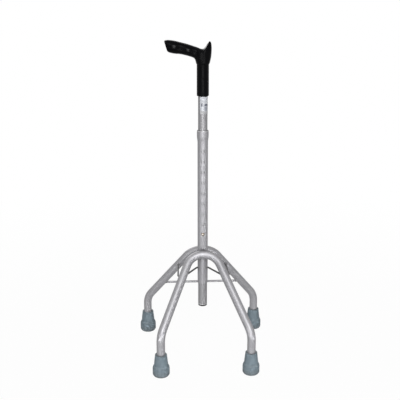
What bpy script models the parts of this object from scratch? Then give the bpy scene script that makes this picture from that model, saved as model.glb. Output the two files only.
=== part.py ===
"""Four-footed walking cane with a height-adjustable shaft.

Metres, +Z up. The origin is on the floor, in the middle of the feet's footprint.
The shaft is vertical, the grip points to -X, the hole row and the front legs face -Y.
"""
import math

import bpy
import bmesh
from mathutils import Matrix, Vector

# Fits
GAP = 0.0003  # space left between pieces that touch
TUBE_CLEARANCE = 0.0003  # radial, between the two shaft tubes
BUTTON_CLEARANCE = 0.0004  # radial, between button and hole

# Shaft tubes
OUTER_DIA = 0.025
OUTER_WALL = 0.0011
OUTER_BOTTOM_Z = 0.170
OUTER_LENGTH = 0.3875
INNER_WALL = 0.0012
INNER_BOTTOM_Z = 0.1115
INNER_LENGTH = 0.600

# Bell mouth at the top of the outer tube, and its bush
BELL_FLARE = 0.0015  # radial
BELL_STRAIGHT = 0.0125
BELL_TAPER = 0.016
BUSH_LENGTH = 0.015
BUSH_RECESS = 0.0012  # bush top below the bell's rim
BUSH_EDGE = 0.0003

# Height holes and snap button
HOLE_COUNT = 9
HOLE_PITCH = 0.026
HOLE_DIA = 0.0082
BUTTON_Z = 0.3005  # lowest hole
BUTTON_STAND = 0.0020  # dome above the outer tube
BUTTON_DOME = 0.0016
SHANK_DIA = 0.003
RIVET_DIA = 0.0048
RIVET_HEIGHT = 0.0008

# Button spring inside the inner tube
STRIP_WIDTH = 0.008
STRIP_THICKNESS = 0.0006
ARM_ABOVE = 0.006  # front arm above the button's centre
ARM_BELOW = 0.025  # button's centre to the start of the bend
BACK_ARM_ABOVE = 0.012

# Plug in the lower end of the inner tube
PLUG_CAP = 0.0036
PLUG_EDGE = 0.0010
PLUG_SPIGOT = 0.012

# Legs
LEG_DIA = 0.020
LEG_WALL = 0.0010
FRONT_SPREAD = 0.214  # between the front feet
REAR_SPREAD = 0.2816
FRONT_REACH = 0.1565  # shaft axis to the front feet
REAR_REACH = 0.0867
FRONT_CROWN_Z = 0.252
REAR_CROWN_Z = 0.2485
FRONT_CROWN_RADIUS = 0.043
REAR_CROWN_RADIUS = 0.047
FRONT_ANKLE_Z = 0.1020
REAR_ANKLE_Z = 0.0946
FRONT_ANKLE_RADIUS = 0.042
REAR_ANKLE_RADIUS = 0.048

# Rubber tips and their washers; the walls are measured from the bore
TIP_HEIGHT = 0.054
TIP_RIM_WALL = 0.0037
TIP_NECK_WALL = 0.0066
TIP_BAND_WALL = 0.00985
TIP_NECK_Z = 0.0275
TIP_BAND_TOP = 0.0220
TIP_BAND_BOTTOM = 0.0040
TIP_EDGE = 0.0012
TIP_SOLE_INSET = 0.0031  # band to the flat sole
TIP_FLOOR = 0.0120  # rubber under the washer
TREAD_DIA = 0.0190
TREAD_DEPTH = 0.0012
TREAD_WIDTH = 0.0025
WASHER_THICKNESS = 0.0015
WASHER_HOLE_DIA = 0.008

# Braces and welds
BRACE_DIA = 0.0042
BRACE_Z = 0.2050
BRACE_LEG_BEND = 0.0086  # round the back of each front leg, on the rod's centre line
BRACE_HUB_BEND = 0.0195  # round the back of the outer tube
BRACE_LEAD = 0.0027  # rod's ends outside the rear legs' centre lines
CROSS_DIA = 0.0056
CROSS_Z = 0.1436
CROWN_WELD = 0.0105  # bead beside the crowns' contact
ROD_WELD = 0.0044

# Handle: heights are from the inner tube's top end
SLEEVE_LENGTH = 0.0722
SLEEVE_WALL = 0.00285
SLEEVE_EDGE = 0.0020
GRIP_HALF_WIDTH = 0.0155
GRIP_END_HALF_WIDTH = 0.0125
NECK_SWELL = 0.0006  # neck wider than the sleeve, each side
HORN_HALF_WIDTH = 0.0125
# how full a section is: 2 is an ellipse, more is squarer
GRIP_FULLNESS = 2.8
HORN_FULLNESS = 2.5
NECK_FULLNESS = 2.2
ROUND = 2.0
# top edge and underside of the grip, from its end to the saddle; X is from the shaft axis
GRIP_TOP = [(-0.0870, 0.0558), (-0.0800, 0.0567), (-0.0660, 0.0549), (-0.0520, 0.0515),
            (-0.0387, 0.0481), (-0.0250, 0.0438), (-0.0130, 0.0398), (-0.0045, 0.0364)]
GRIP_UNDER = [(-0.0840, 0.0315), (-0.0795, 0.0288), (-0.0660, 0.0257), (-0.0530, 0.0246),
              (-0.0420, 0.0224), (-0.0300, 0.0191), (-0.0215, 0.0158), (-0.0183, 0.0123)]
# thumb horn and neck; X is from the sleeve's outside
HORN_TOP = [(-0.0133, 0.0365), (-0.0071, 0.0423), (-0.0025, 0.0495), (0.0013, 0.0534),
            (0.0046, 0.0500), (0.0060, 0.0405), (0.0059, 0.0295), (0.0053, 0.0185),
            (0.0030, 0.0075), (0.0007, -0.0010)]
NECK_UNDER = [(0.0027, 0.0085), (0.0012, 0.0025), (0.0003, -0.0045), (0.0, -0.0115), (0.0, -0.0185),
              (0.0, -0.0255), (0.0, -0.0315), (0.0, -0.0365), (0.0, -0.0405), (0.0, -0.0435)]

# Label on the inner tube
LABEL_HEIGHT = 0.041
LABEL_WIDTH = 0.040
LABEL_THICKNESS = 0.0001
LABEL_DROP = 0.0006  # sleeve's edge to the label's top
LABEL_TURN = math.radians(39)  # its left edge, from the front

# Mesh fineness
TUBE_STEPS = 32
TIP_STEPS = 24
BUTTON_STEPS = 16
HOLE_SIDES = 14
LEG_BEVEL_STEPS = 4
ROD_BEVEL_STEPS = 2
HANDLE_SIDES = 20
HANDLE_LEVELS = 2
ARC_STEP = math.radians(11)

# Derived places
SHAFT = Vector((0, (FRONT_REACH - REAR_REACH) / 2, 0))
OUTER_R = OUTER_DIA / 2
OUTER_BORE = OUTER_R - OUTER_WALL
OUTER_TOP_Z = OUTER_BOTTOM_Z + OUTER_LENGTH
BELL_R = OUTER_R + BELL_FLARE
INNER_R = OUTER_BORE - TUBE_CLEARANCE
INNER_BORE = INNER_R - INNER_WALL
INNER_TOP_Z = INNER_BOTTOM_Z + INNER_LENGTH
LABEL_R = INNER_R + GAP
LEG_R = LEG_DIA / 2
LEG_END_Z = TIP_FLOOR + WASHER_THICKNESS + 2 * GAP
SLEEVE_BORE = INNER_R + GAP
SLEEVE_R = SLEEVE_BORE + SLEEVE_WALL
# the strip's outer faces lie as far out as its corners allow inside the round bore
STRIP_FACE = math.sqrt(INNER_BORE ** 2 - (STRIP_WIDTH / 2) ** 2) - GAP
UP = Vector((0, 0, 1))
FRONT = Vector((0, -1, 0))


def start_scene():
    for ob in list(bpy.data.objects):
        bpy.data.objects.remove(ob)
    groups = []
    for name in ("quad_cane", "cutters"):
        group = bpy.data.collections.new(name)
        bpy.context.scene.collection.children.link(group)
        groups.append(group)
    return groups


PARTS, CUTTERS = start_scene()


# Materials
def material(name, color, roughness, metallic=0.0):
    mat = bpy.data.materials.new(name)
    mat.use_nodes = True
    bsdf = mat.node_tree.nodes["Principled BSDF"]
    bsdf.inputs["Base Color"].default_value = (*color, 1)
    bsdf.inputs["Roughness"].default_value = roughness
    bsdf.inputs["Metallic"].default_value = metallic
    return mat


def silver(name):
    return material(name, (0.42, 0.42, 0.43), 0.38, 0.85)


# Objects and meshes
def add(name, mesh, mat=None, parent=None):
    """A part; without a material it is a cutter, which only shapes other objects."""
    ob = bpy.data.objects.new(name, mesh)
    if mat:
        PARTS.objects.link(ob)
        mesh.materials.clear()
        mesh.materials.append(mat)
    else:
        CUTTERS.objects.link(ob)
        ob.hide_render = True
        ob.display_type = "WIRE"
    ob.parent = parent
    return ob


def empty(name, location, parent=None):
    ob = bpy.data.objects.new(name, None)
    ob.location = location
    ob.parent = parent
    PARTS.objects.link(ob)
    return ob


def smooth(mesh, angle=40):
    mesh.shade_smooth()
    mesh.set_sharp_from_angle(angle=math.radians(angle))


def mesh_from(bm, name):
    mesh = bpy.data.meshes.new(name)
    bm.to_mesh(mesh)
    bm.free()
    return mesh


def evaluated_mesh(ob):
    """The mesh of a curve, or of a mesh with its modifiers."""
    graph = bpy.context.evaluated_depsgraph_get()
    return bpy.data.meshes.new_from_object(ob.evaluated_get(graph))


def cut(ob, tools):
    for tool in tools:
        mod = ob.modifiers.new("cut", "BOOLEAN")
        mod.operation = "DIFFERENCE"
        mod.solver = "EXACT"
        mod.object = tool


def turned_mesh(name, profile, steps, closed=False, angle=math.tau):
    """A profile of (radius, z) turned about Z; its outer side runs from top to bottom."""
    outline = bpy.data.meshes.new(name + "_profile")
    count = len(profile)
    edges = [(i, (i + 1) % count) for i in range(count if closed else count - 1)]
    outline.from_pydata([(r, 0, z) for r, z in profile], edges, [])
    ob = bpy.data.objects.new(name + "_profile", outline)
    CUTTERS.objects.link(ob)
    screw = ob.modifiers.new("turn", "SCREW")
    screw.angle = angle
    screw.steps = steps
    screw.render_steps = steps
    screw.use_merge_vertices = angle == math.tau
    screw.merge_threshold = 0.00001
    mesh = evaluated_mesh(ob)
    bpy.data.objects.remove(ob)
    smooth(mesh)
    return mesh


def tube_mesh(name, points, radius, bevel, caps=True):
    """A round bar through the points, or an open skin without caps."""
    curve = bpy.data.curves.new(name, "CURVE")
    curve.dimensions = "3D"
    curve.bevel_depth = radius
    curve.bevel_resolution = bevel
    curve.use_fill_caps = caps
    spline = curve.splines.new("POLY")
    spline.points.add(len(points) - 1)
    for point, place in zip(spline.points, points):
        point.co = (*place, 1)
    ob = bpy.data.objects.new(name, curve)
    CUTTERS.objects.link(ob)
    mesh = evaluated_mesh(ob)
    mesh.transform(ob.matrix_world)
    bpy.data.objects.remove(ob)
    bm = bmesh.new()
    bm.from_mesh(mesh)
    bmesh.ops.remove_doubles(bm, verts=bm.verts, dist=0.00001)
    bm.to_mesh(mesh)
    bm.free()
    smooth(mesh)
    return mesh


def sheet(ob, thickness, offset):
    mod = ob.modifiers.new("sheet", "SOLIDIFY")
    mod.thickness = thickness
    mod.offset = offset
    mod.use_even_offset = True


def drill(name, radius, depth, centres, direction, sides):
    """Round cutters, one at each centre, all along one direction."""
    bm = bmesh.new()
    turn = UP.rotation_difference(direction).to_matrix().to_4x4()
    for centre in centres:
        verts = bmesh.ops.create_cone(bm, cap_ends=True, segments=sides, radius1=radius, radius2=radius,
                                      depth=depth)["verts"]
        bmesh.ops.transform(bm, matrix=Matrix.Translation(centre) @ turn, verts=verts)
    return add(name, mesh_from(bm, name))


# Paths of the bent tubes and rods
def arc(centre, arm, angle, axis):
    """Points of an arc that starts at the end of the arm and turns about the axis."""
    steps = max(2, math.ceil(abs(angle) / ARC_STEP))
    return [centre + Matrix.Rotation(angle * i / steps, 3, axis) @ arm for i in range(steps + 1)]


def fillet(before, corner, after, radius):
    """The arc that replaces a corner."""
    a = (before - corner).normalized()
    b = (after - corner).normalized()
    half = a.angle(b) / 2
    start = corner + a * radius / math.tan(half)
    centre = corner + (a + b).normalized() * radius / math.sin(half)
    arm = start - centre
    return arc(centre, arm, math.pi - 2 * half, arm.cross(-a).normalized())


def wrap(rings):
    """A level path round circles given as (centre, radius, turn); turn is 1 to the left, -1 to the right."""
    lines = []
    for (c1, r1, s1), (c2, r2, s2) in zip(rings, rings[1:]):
        between = c2 - c1
        lean = math.acos((s2 * r2 - s1 * r1) / between.length)
        normal = Matrix.Rotation(lean, 3, "Z") @ between.normalized()
        lines.append((c1 - normal * s1 * r1, c2 - normal * s2 * r2))
    points = [lines[0][0]]
    for (centre, radius, side), before, after in zip(rings[1:-1], lines, lines[1:]):
        a = before[1] - centre
        b = after[0] - centre
        turn = side * (side * math.atan2(a.cross(b).z, a.dot(b)) % math.tau)
        points += arc(centre, a, turn, UP)
    points.append(lines[-1][1])
    return points


def mirror_x(v):
    return Vector((-v.x, v.y, v.z))


class Legs:
    """One bent tube: foot, ankle, leg, crown beside the shaft, and its mirror image."""

    def __init__(self, side, spread, reach, crown_z, crown_radius, ankle_z, ankle_radius):
        self.foot = SHAFT + Vector((spread / 2, side * reach, 0))
        self.crown = SHAFT + Vector((0, side * (OUTER_R + GAP + LEG_R), crown_z))
        ankle = self.foot + UP * ankle_z
        fall = Vector((0, ankle.y, ankle.z)) - self.crown
        down = fall.normalized()
        centre = self.crown + down * crown_radius
        # the straight leg leaves the crown's arc as the tangent that meets the ankle
        drop = fall.length - crown_radius
        reach_out = math.hypot(ankle.x, drop)
        slope = math.atan2(ankle.x, drop) - math.asin(crown_radius / reach_out)
        bend_axis = Vector((1, 0, 0)).cross(down) * -1
        crown_arc = arc(centre, -down * crown_radius, -(math.pi / 2 - slope), bend_axis)
        if crown_arc[-1].x < 0:
            crown_arc = [mirror_x(p) for p in crown_arc]
        self.hip = crown_arc[-1]
        self.direction = (ankle - self.hip).normalized()
        end = Vector((self.foot.x, self.foot.y, LEG_END_Z))
        half = crown_arc + fillet(self.hip, ankle, end, ankle_radius) + [end]
        self.path = [mirror_x(p) for p in reversed(half[1:])] + half

    def at(self, z):
        """Centre of the straight right leg at height z."""
        return self.hip + self.direction * ((z - self.hip.z) / self.direction.z)

    def tube(self, name):
        ob = add(name, tube_mesh(name, self.path, LEG_R, LEG_BEVEL_STEPS, False), silver(name + "_paint"))
        sheet(ob, LEG_WALL, -1)

    def space(self, name):
        return add(name, tube_mesh(name, self.path, LEG_R + GAP, LEG_BEVEL_STEPS))


# Outer tube with its bell mouth, height holes and bush
def bell_radius(z):
    """Outside radius of the outer tube at height z: plain, a smooth flare, then straight."""
    flare_bottom = OUTER_TOP_Z - BELL_STRAIGHT - BELL_TAPER
    share = min(1, max(0, (z - flare_bottom) / BELL_TAPER))
    return OUTER_R + BELL_FLARE * share * share * (3 - 2 * share)


def flare_heights(bottom, top, count):
    return [top + (bottom - top) * i / count for i in range(count + 1)]


def height_holes(name, count):
    """Cuts through the front wall of the shaft only."""
    depth = 2 * BELL_R
    centres = [SHAFT + Vector((0, -depth / 2, BUTTON_Z + HOLE_PITCH * i)) for i in range(count)]
    return drill(name, HOLE_DIA / 2, depth, centres, FRONT, HOLE_SIDES)


def outer_tube(parent):
    flare_top = OUTER_TOP_Z - BELL_STRAIGHT
    flare = flare_heights(flare_top - BELL_TAPER, flare_top, 5)
    lip = OUTER_WALL / 3
    profile = [(BELL_R - OUTER_WALL, OUTER_TOP_Z), (BELL_R - lip, OUTER_TOP_Z), (BELL_R, OUTER_TOP_Z - lip)]
    profile += [(bell_radius(z), z) for z in flare]
    profile += [(OUTER_R, OUTER_BOTTOM_Z), (OUTER_BORE, OUTER_BOTTOM_Z)]
    profile += [(bell_radius(z) - OUTER_WALL, z) for z in reversed(flare)]
    mesh = turned_mesh("outer_tube", profile, TUBE_STEPS, True)
    ob = add("outer_tube", mesh, silver("outer_tube_paint"), parent)
    cut(ob, [height_holes("height_holes", HOLE_COUNT)])


def guide_bush(parent):
    """Plastic ring between the bell mouth and the inner tube."""
    top = OUTER_TOP_Z - BUSH_RECESS
    bottom = top - BUSH_LENGTH
    flare_top = OUTER_TOP_Z - BELL_STRAIGHT
    recess = OUTER_WALL + GAP
    # the label passes through as well
    bore = LABEL_R + LABEL_THICKNESS + GAP
    profile = [(bore, top), (BELL_R - recess - BUSH_EDGE, top), (BELL_R - recess, top - BUSH_EDGE)]
    if bottom < flare_top:
        profile += [(bell_radius(z) - recess, z) for z in flare_heights(bottom, flare_top, 2)]
    else:
        profile.append((BELL_R - recess, bottom))
    profile.append((bore, bottom))
    mat = material("bush_plastic", (0.05, 0.05, 0.055), 0.5)
    add("guide_bush", turned_mesh("guide_bush", profile, TUBE_STEPS, True), mat, parent)


# Upper shaft
def inner_tube(parent):
    profile = [(INNER_BORE, INNER_TOP_Z), (INNER_R, INNER_TOP_Z), (INNER_R, INNER_BOTTOM_Z),
               (INNER_BORE, INNER_BOTTOM_Z)]
    mesh = turned_mesh("inner_tube", profile, TUBE_STEPS, True)
    ob = add("inner_tube", mesh, silver("inner_tube_anodised"), parent)
    cut(ob, [height_holes("button_hole", 1)])


def tube_plug(parent):
    seat = INNER_BOTTOM_Z - GAP
    top = seat + PLUG_SPIGOT
    bottom = seat - PLUG_CAP
    spigot = INNER_BORE - GAP
    corner = PLUG_EDGE * (1 - math.sqrt(0.5))
    profile = [(0, top), (spigot - PLUG_EDGE, top), (spigot, top - PLUG_EDGE), (spigot, seat),
               (INNER_R, seat), (INNER_R, bottom + PLUG_EDGE), (INNER_R - corner, bottom + corner),
               (INNER_R - PLUG_EDGE, bottom), (0, bottom)]
    mat = material("plug_plastic", (0.02, 0.02, 0.02), 0.55)
    add("tube_plug", turned_mesh("tube_plug", profile, TUBE_STEPS), mat, parent)


def label(parent):
    """A thin film wrapped round the front and right side of the inner tube."""
    top = INNER_TOP_Z - SLEEVE_LENGTH - LABEL_DROP
    film = turned_mesh("label", [(LABEL_R, top), (LABEL_R, top - LABEL_HEIGHT)], TUBE_STEPS // 2,
                       angle=LABEL_WIDTH / LABEL_R)
    ob = add("label", film, material("label_film", (0.75, 0.77, 0.8), 0.4), parent)
    ob.rotation_euler.z = -math.pi / 2 - LABEL_TURN
    sheet(ob, LABEL_THICKNESS, 1)


# Snap button and its spring
def strip(name, path, mat, parent):
    """A flat spring strip along (y, z) points."""
    bm = bmesh.new()
    half = STRIP_WIDTH / 2
    rows = [[bm.verts.new((x, y, z)) for x in (-half, half)] for y, z in path]
    for a, b in zip(rows, rows[1:]):
        bm.faces.new((a[0], a[1], b[1], b[0]))
    ob = add(name, mesh_from(bm, name), mat, parent)
    sheet(ob, STRIP_THICKNESS, 0)
    return ob


def button_spring(parent):
    """Back arm and bend of the spring, resting on the inner tube's back wall."""
    middle = STRIP_FACE - STRIP_THICKNESS / 2
    low = BUTTON_Z - ARM_BELOW
    bend = arc(Vector((0, 0, low)), Vector((0, middle, 0)), -math.pi, Vector((1, 0, 0)))
    path = [(middle, BUTTON_Z + BACK_ARM_ABOVE)] + [(p.y, p.z) for p in bend]
    strip("button_spring", path, material("spring_steel", (0.35, 0.35, 0.36), 0.3, 1.0), parent)


def button_arm(parent):
    """Front arm of the spring, which carries the button; its lower end is free of the bend."""
    middle = STRIP_THICKNESS / 2 - STRIP_FACE
    path = [(middle, ARM_ABOVE), (middle, GAP - ARM_BELOW)]
    ob = strip("button_arm", path, material("arm_steel", (0.35, 0.35, 0.36), 0.3, 1.0), parent)
    centre = SHAFT + Vector((0, middle, BUTTON_Z))
    cut(ob, [drill("rivet_hole", SHANK_DIA / 2 + GAP, STRIP_THICKNESS * 4, [centre], FRONT, BUTTON_STEPS)])


def snap_button(parent):
    """Domed button with its riveted shank; the profile's axis is the button's own."""
    face = OUTER_R + BUTTON_STAND
    back = STRIP_FACE + GAP
    tail = STRIP_FACE - STRIP_THICKNESS - GAP
    r = HOLE_DIA / 2 - BUTTON_CLEARANCE
    ball = (r * r + BUTTON_DOME ** 2) / (2 * BUTTON_DOME)
    lean = math.asin(r / ball)
    dome = [lean * i / 4 for i in range(5)]
    profile = [(ball * math.sin(a), face - ball * (1 - math.cos(a))) for a in dome]
    profile += [(r, back), (SHANK_DIA / 2, back), (SHANK_DIA / 2, tail), (RIVET_DIA / 2, tail),
                (RIVET_DIA / 2, tail - RIVET_HEIGHT / 2), (RIVET_DIA / 3, tail - RIVET_HEIGHT),
                (0, tail - RIVET_HEIGHT)]
    mat = material("button_steel", (0.45, 0.44, 0.42), 0.28, 1.0)
    ob = add("snap_button", turned_mesh("snap_button", profile, BUTTON_STEPS), mat, parent)
    ob.rotation_euler.x = math.pi / 2


# Handle
def curve_through(points, steps):
    """Points of a smooth curve, with a number of steps between neighbours."""
    out = []
    last = len(points) - 1
    for i in range(last):
        p0, p1, p2, p3 = (points[min(last, max(0, i + k))] for k in (-1, 0, 1, 2))
        for k in range(steps):
            t = k / steps
            out.append((2 * p1 + (p2 - p0) * t + (2 * p0 - 5 * p1 + 4 * p2 - p3) * t ** 2
                        + (3 * p1 - p0 - 3 * p2 + p3) * t ** 3) / 2)
    out.append(points[-1])
    return out


def grip_stations():
    """Cross-sections (top x, top z, under x, under z) and (half width, fullness) of the grip."""
    for i, (top, under) in enumerate(zip(GRIP_TOP, GRIP_UNDER)):
        swell = math.sin(math.pi / 2 * min(1, 1.6 * i / (len(GRIP_TOP) - 1)))
        width = GRIP_END_HALF_WIDTH + (GRIP_HALF_WIDTH - GRIP_END_HALF_WIDTH) * swell
        yield Vector((*top, *under)), Vector((width, GRIP_FULLNESS))


def horn_stations():
    """Cross-sections from the saddle over the horn and down the neck."""
    neck = SLEEVE_R + NECK_SWELL
    peak = HORN_TOP.index(max(HORN_TOP, key=lambda point: point[1]))
    for i, (top, under) in enumerate(zip(HORN_TOP, NECK_UNDER)):
        share = min(1, 1.3 * abs(i - peak) / (len(HORN_TOP) - peak))
        width = HORN_HALF_WIDTH + (neck - HORN_HALF_WIDTH) * share
        yield (Vector((top[0] + SLEEVE_R, top[1], -under[0] - SLEEVE_R, under[1])),
               Vector((width, HORN_FULLNESS + (NECK_FULLNESS - HORN_FULLNESS) * share)))


def sleeve_stations():
    """Round sections down the sleeve; the cuts turn from slanting to level."""
    top_from, under_from = HORN_TOP[-1][1], NECK_UNDER[-1][1]
    foot = SLEEVE_EDGE - SLEEVE_LENGTH
    levels = 5
    for i in range(1, levels + 1):
        share = i / levels
        low = under_from + (foot - under_from) * share
        high = top_from + (low - top_from) * (1 - (1 - share) ** 1.5)
        yield Vector((SLEEVE_R, high, -SLEEVE_R, low)), Vector((SLEEVE_R, ROUND))


def rounded_start(edge, section):
    """Smaller sections that close the grip's end with a rounded face."""
    top, under = edge.xy, edge.zw
    middle = (top + under) / 2
    for inset, shrink in ((0.0032, 0.62), (0.0024, 0.82), (0.0010, 0.95)):
        step = Vector((-inset, 0))
        high = middle + (top - middle) * shrink + step
        low = middle + (under - middle) * shrink + step
        yield Vector((*high, *low)), Vector((section.x * shrink, section.y))


def rounded_finish():
    """Sections of the sleeve's rounded lower edge."""
    steps = 3
    for i in range(1, steps + 1):
        angle = math.pi / 2 * i / steps
        r = SLEEVE_R - SLEEVE_EDGE * (1 - math.cos(angle))
        z = SLEEVE_EDGE * (1 - math.sin(angle)) - SLEEVE_LENGTH
        yield Vector((r, z, -r, z)), Vector((r, ROUND))


def section_ring(bm, edge, section):
    """One closed cross-section: a superellipse between the top and the under point."""
    top = Vector((edge.x, 0, edge.y))
    under = Vector((edge.z, 0, edge.w))
    middle = (top + under) / 2
    rise = (top - under) / 2
    power = 2 / section.y
    ring = []
    for i in range(HANDLE_SIDES):
        angle = math.tau * i / HANDLE_SIDES
        up = math.copysign(abs(math.cos(angle)) ** power, math.cos(angle))
        out = math.copysign(abs(math.sin(angle)) ** power, math.sin(angle))
        ring.append(bm.verts.new(middle + rise * up + Vector((0, section.x * out, 0))))
    return ring


def handle(parent):
    """Lofted palm grip, thumb horn and sleeve in one moulding, bored for the inner tube."""
    stations = [*grip_stations(), *horn_stations(), *sleeve_stations()]
    edges = curve_through([edge for edge, _ in stations], HANDLE_LEVELS)
    sections = curve_through([section for _, section in stations], HANDLE_LEVELS)
    rows = [*rounded_start(edges[0], sections[0]), *zip(edges, sections), *rounded_finish()]
    bm = bmesh.new()
    rings = [section_ring(bm, *row) for row in rows]
    for a, b in zip(rings, rings[1:]):
        for i in range(HANDLE_SIDES):
            j = (i + 1) % HANDLE_SIDES
            bm.faces.new((a[i], a[j], b[j], b[i]))
    bm.faces.new(reversed(rings[0]))
    bm.faces.new(rings[-1])
    bmesh.ops.recalc_face_normals(bm, faces=bm.faces)
    bmesh.ops.translate(bm, vec=UP * INNER_TOP_Z, verts=bm.verts)
    mesh = mesh_from(bm, "handle")
    smooth(mesh, 50)
    ob = add("handle", mesh, material("handle_plastic", (0.012, 0.012, 0.014), 0.42), parent)
    depth = 2 * (SLEEVE_LENGTH + GAP)
    centre = SHAFT + UP * (INNER_TOP_Z - SLEEVE_LENGTH)
    cut(ob, [drill("handle_bore", SLEEVE_BORE, depth, [centre], UP, TUBE_STEPS)])


# Feet
def rubber_tip(name, foot):
    bore = LEG_R + GAP
    rim = bore + TIP_RIM_WALL
    neck = bore + TIP_NECK_WALL
    band = bore + TIP_BAND_WALL
    sole = band - TIP_SOLE_INSET
    tread = TREAD_DIA / 2
    edge = TIP_EDGE
    inside = [(0, TIP_FLOOR), (bore, TIP_FLOOR), (bore, TIP_HEIGHT - edge / 2), (bore + edge / 2, TIP_HEIGHT)]
    outside = [(rim - edge / 2, TIP_HEIGHT), (rim, TIP_HEIGHT - edge / 2), (neck, TIP_NECK_Z),
               ((neck * 3 + band * 2) / 5, (TIP_NECK_Z + TIP_BAND_TOP) / 2), (band - edge / 3, TIP_BAND_TOP),
               (band, TIP_BAND_TOP - edge), (band - edge / 3, TIP_BAND_BOTTOM),
               ((sole + band) / 2, TIP_BAND_BOTTOM / 4), (sole, 0)]
    groove = [(tread + TREAD_WIDTH, 0), (tread + TREAD_WIDTH, TREAD_DEPTH), (tread, TREAD_DEPTH), (tread, 0),
              (0, 0)]
    ob = add(name, turned_mesh(name, inside + outside + groove, TIP_STEPS),
             material(name + "_rubber", (0.18, 0.23, 0.27), 0.75))
    ob.location = foot


def washer(name, foot):
    """Steel disc between the leg's end and the rubber."""
    r = LEG_R - GAP
    low = TIP_FLOOR + GAP
    top = low + WASHER_THICKNESS
    hole = WASHER_HOLE_DIA / 2
    profile = [(hole, top), (r, top), (r, low), (hole, low)]
    ob = add(name, turned_mesh(name, profile, BUTTON_STEPS, True),
             material(name + "_zinc", (0.5, 0.5, 0.48), 0.35, 1.0))
    ob.location = foot


# Braces and welds
def rod(name, path, radius, mat=None):
    return add(name, tube_mesh(name, path, radius, ROD_BEVEL_STEPS), mat)


def weld_bead(name, centre, size, tools):
    """One rounded bead in the corner between the members that the tools stand for."""
    bm = bmesh.new()
    verts = bmesh.ops.create_uvsphere(bm, u_segments=12, v_segments=8, radius=1)["verts"]
    bmesh.ops.transform(bm, matrix=Matrix.Translation(centre) @ Matrix.Diagonal((*size, 1)), verts=verts)
    mesh = mesh_from(bm, name)
    smooth(mesh, 50)
    cut(add(name, mesh, silver(name + "_paint")), tools)


class Brace:
    """Dark rod: rear leg, round the back of the front leg, round the back of the outer tube, mirrored."""

    def __init__(self, front, rear):
        leg = front.at(BRACE_Z)
        # a level cut through the slanting leg is longer than the leg is thick
        slant = math.hypot(1, front.direction.y / front.direction.z)
        self.leg_touch = Vector((leg.x, leg.y + (LEG_R + GAP + BRACE_DIA / 2) * slant, BRACE_Z))
        self.hub_touch = SHAFT + Vector((0, OUTER_R + GAP + BRACE_DIA / 2, BRACE_Z))
        bend = self.leg_touch + Vector((0, BRACE_LEG_BEND, 0))
        start = rear.at(BRACE_Z) + Vector((BRACE_LEAD, 0, 0))
        hub = self.hub_touch - Vector((0, BRACE_HUB_BEND, 0))
        self.path = wrap([(start, 0, 1), (bend, BRACE_LEG_BEND, -1), (hub, BRACE_HUB_BEND, 1),
                          (mirror_x(bend), BRACE_LEG_BEND, -1), (mirror_x(start), 0, 1)])
        along = (self.path[1] - start).normalized()
        self.end = start + along * (LEG_R / along.cross(rear.direction).length)


def base(front, rear):
    front.tube("front_legs")
    rear.tube("rear_legs")
    front_space = front.space("front_legs_space")
    rear_space = rear.space("rear_legs_space")
    tube_space = drill("outer_tube_space", OUTER_R + GAP, OUTER_LENGTH,
                       [SHAFT + UP * (OUTER_BOTTOM_Z + OUTER_LENGTH / 2)], UP, TUBE_STEPS)

    brace = Brace(front, rear)
    cut(rod("brace_rod", brace.path, BRACE_DIA / 2, material("brace_steel", (0.035, 0.035, 0.04), 0.45, 0.6)),
        [rear_space])
    brace_space = rod("brace_space", brace.path, BRACE_DIA / 2 + GAP)

    cross_end = rear.at(CROSS_Z)
    span = [mirror_x(cross_end), cross_end]
    cut(rod("cross_rod", span, CROSS_DIA / 2, silver("cross_rod_paint")), [rear_space])
    cross_space = rod("cross_space", span, CROSS_DIA / 2 + GAP)

    crown_bead = (CROWN_WELD, CROWN_WELD / 2, CROWN_WELD)
    contact = Vector((0, OUTER_R + GAP / 2, 0))
    weld_bead("crown_weld_front", SHAFT + UP * FRONT_CROWN_Z - contact, crown_bead, [front_space, tube_space])
    weld_bead("crown_weld_rear", SHAFT + UP * REAR_CROWN_Z + contact, crown_bead, [rear_space, tube_space])

    rod_bead = (ROD_WELD, ROD_WELD, ROD_WELD)
    # in the corner above the rod
    above = Vector((0, -BRACE_DIA / 2, BRACE_DIA))
    weld_bead("brace_weld_shaft", brace.hub_touch + above, rod_bead, [brace_space, tube_space])
    cross_weld = cross_end - Vector((LEG_R / abs(rear.direction.z), 0, 0))
    for side, place in (("right", Vector), ("left", mirror_x)):
        weld_bead(f"brace_weld_rear_{side}", place(brace.end), rod_bead, [brace_space, rear_space])
        weld_bead(f"brace_weld_front_{side}", place(brace.leg_touch + above), rod_bead,
                  [brace_space, front_space])
        weld_bead(f"cross_weld_{side}", place(cross_weld), rod_bead, [cross_space, rear_space])

    for name, legs in (("front", front), ("rear", rear)):
        for side, foot in (("right", legs.foot), ("left", mirror_x(legs.foot))):
            rubber_tip(f"tip_{name}_{side}", foot)
            washer(f"tip_washer_{name}_{side}", foot)


def build():
    front = Legs(-1, FRONT_SPREAD, FRONT_REACH, FRONT_CROWN_Z, FRONT_CROWN_RADIUS, FRONT_ANKLE_Z,
                 FRONT_ANKLE_RADIUS)
    rear = Legs(1, REAR_SPREAD, REAR_REACH, REAR_CROWN_Z, REAR_CROWN_RADIUS, REAR_ANKLE_Z,
                REAR_ANKLE_RADIUS)
    base(front, rear)
    lower = empty("lower_shaft_axis", SHAFT)
    outer_tube(lower)
    guide_bush(lower)
    upper = empty("height_slide_axis", SHAFT)
    inner_tube(upper)
    tube_plug(upper)
    label(upper)
    button_spring(upper)
    handle(upper)
    press = empty("button_press_axis", UP * BUTTON_Z, upper)
    button_arm(press)
    snap_button(press)


build()
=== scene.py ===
# Four-footed walking cane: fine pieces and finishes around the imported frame
import math

import bmesh
import bpy
from mathutils import Matrix, Vector, noise


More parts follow.
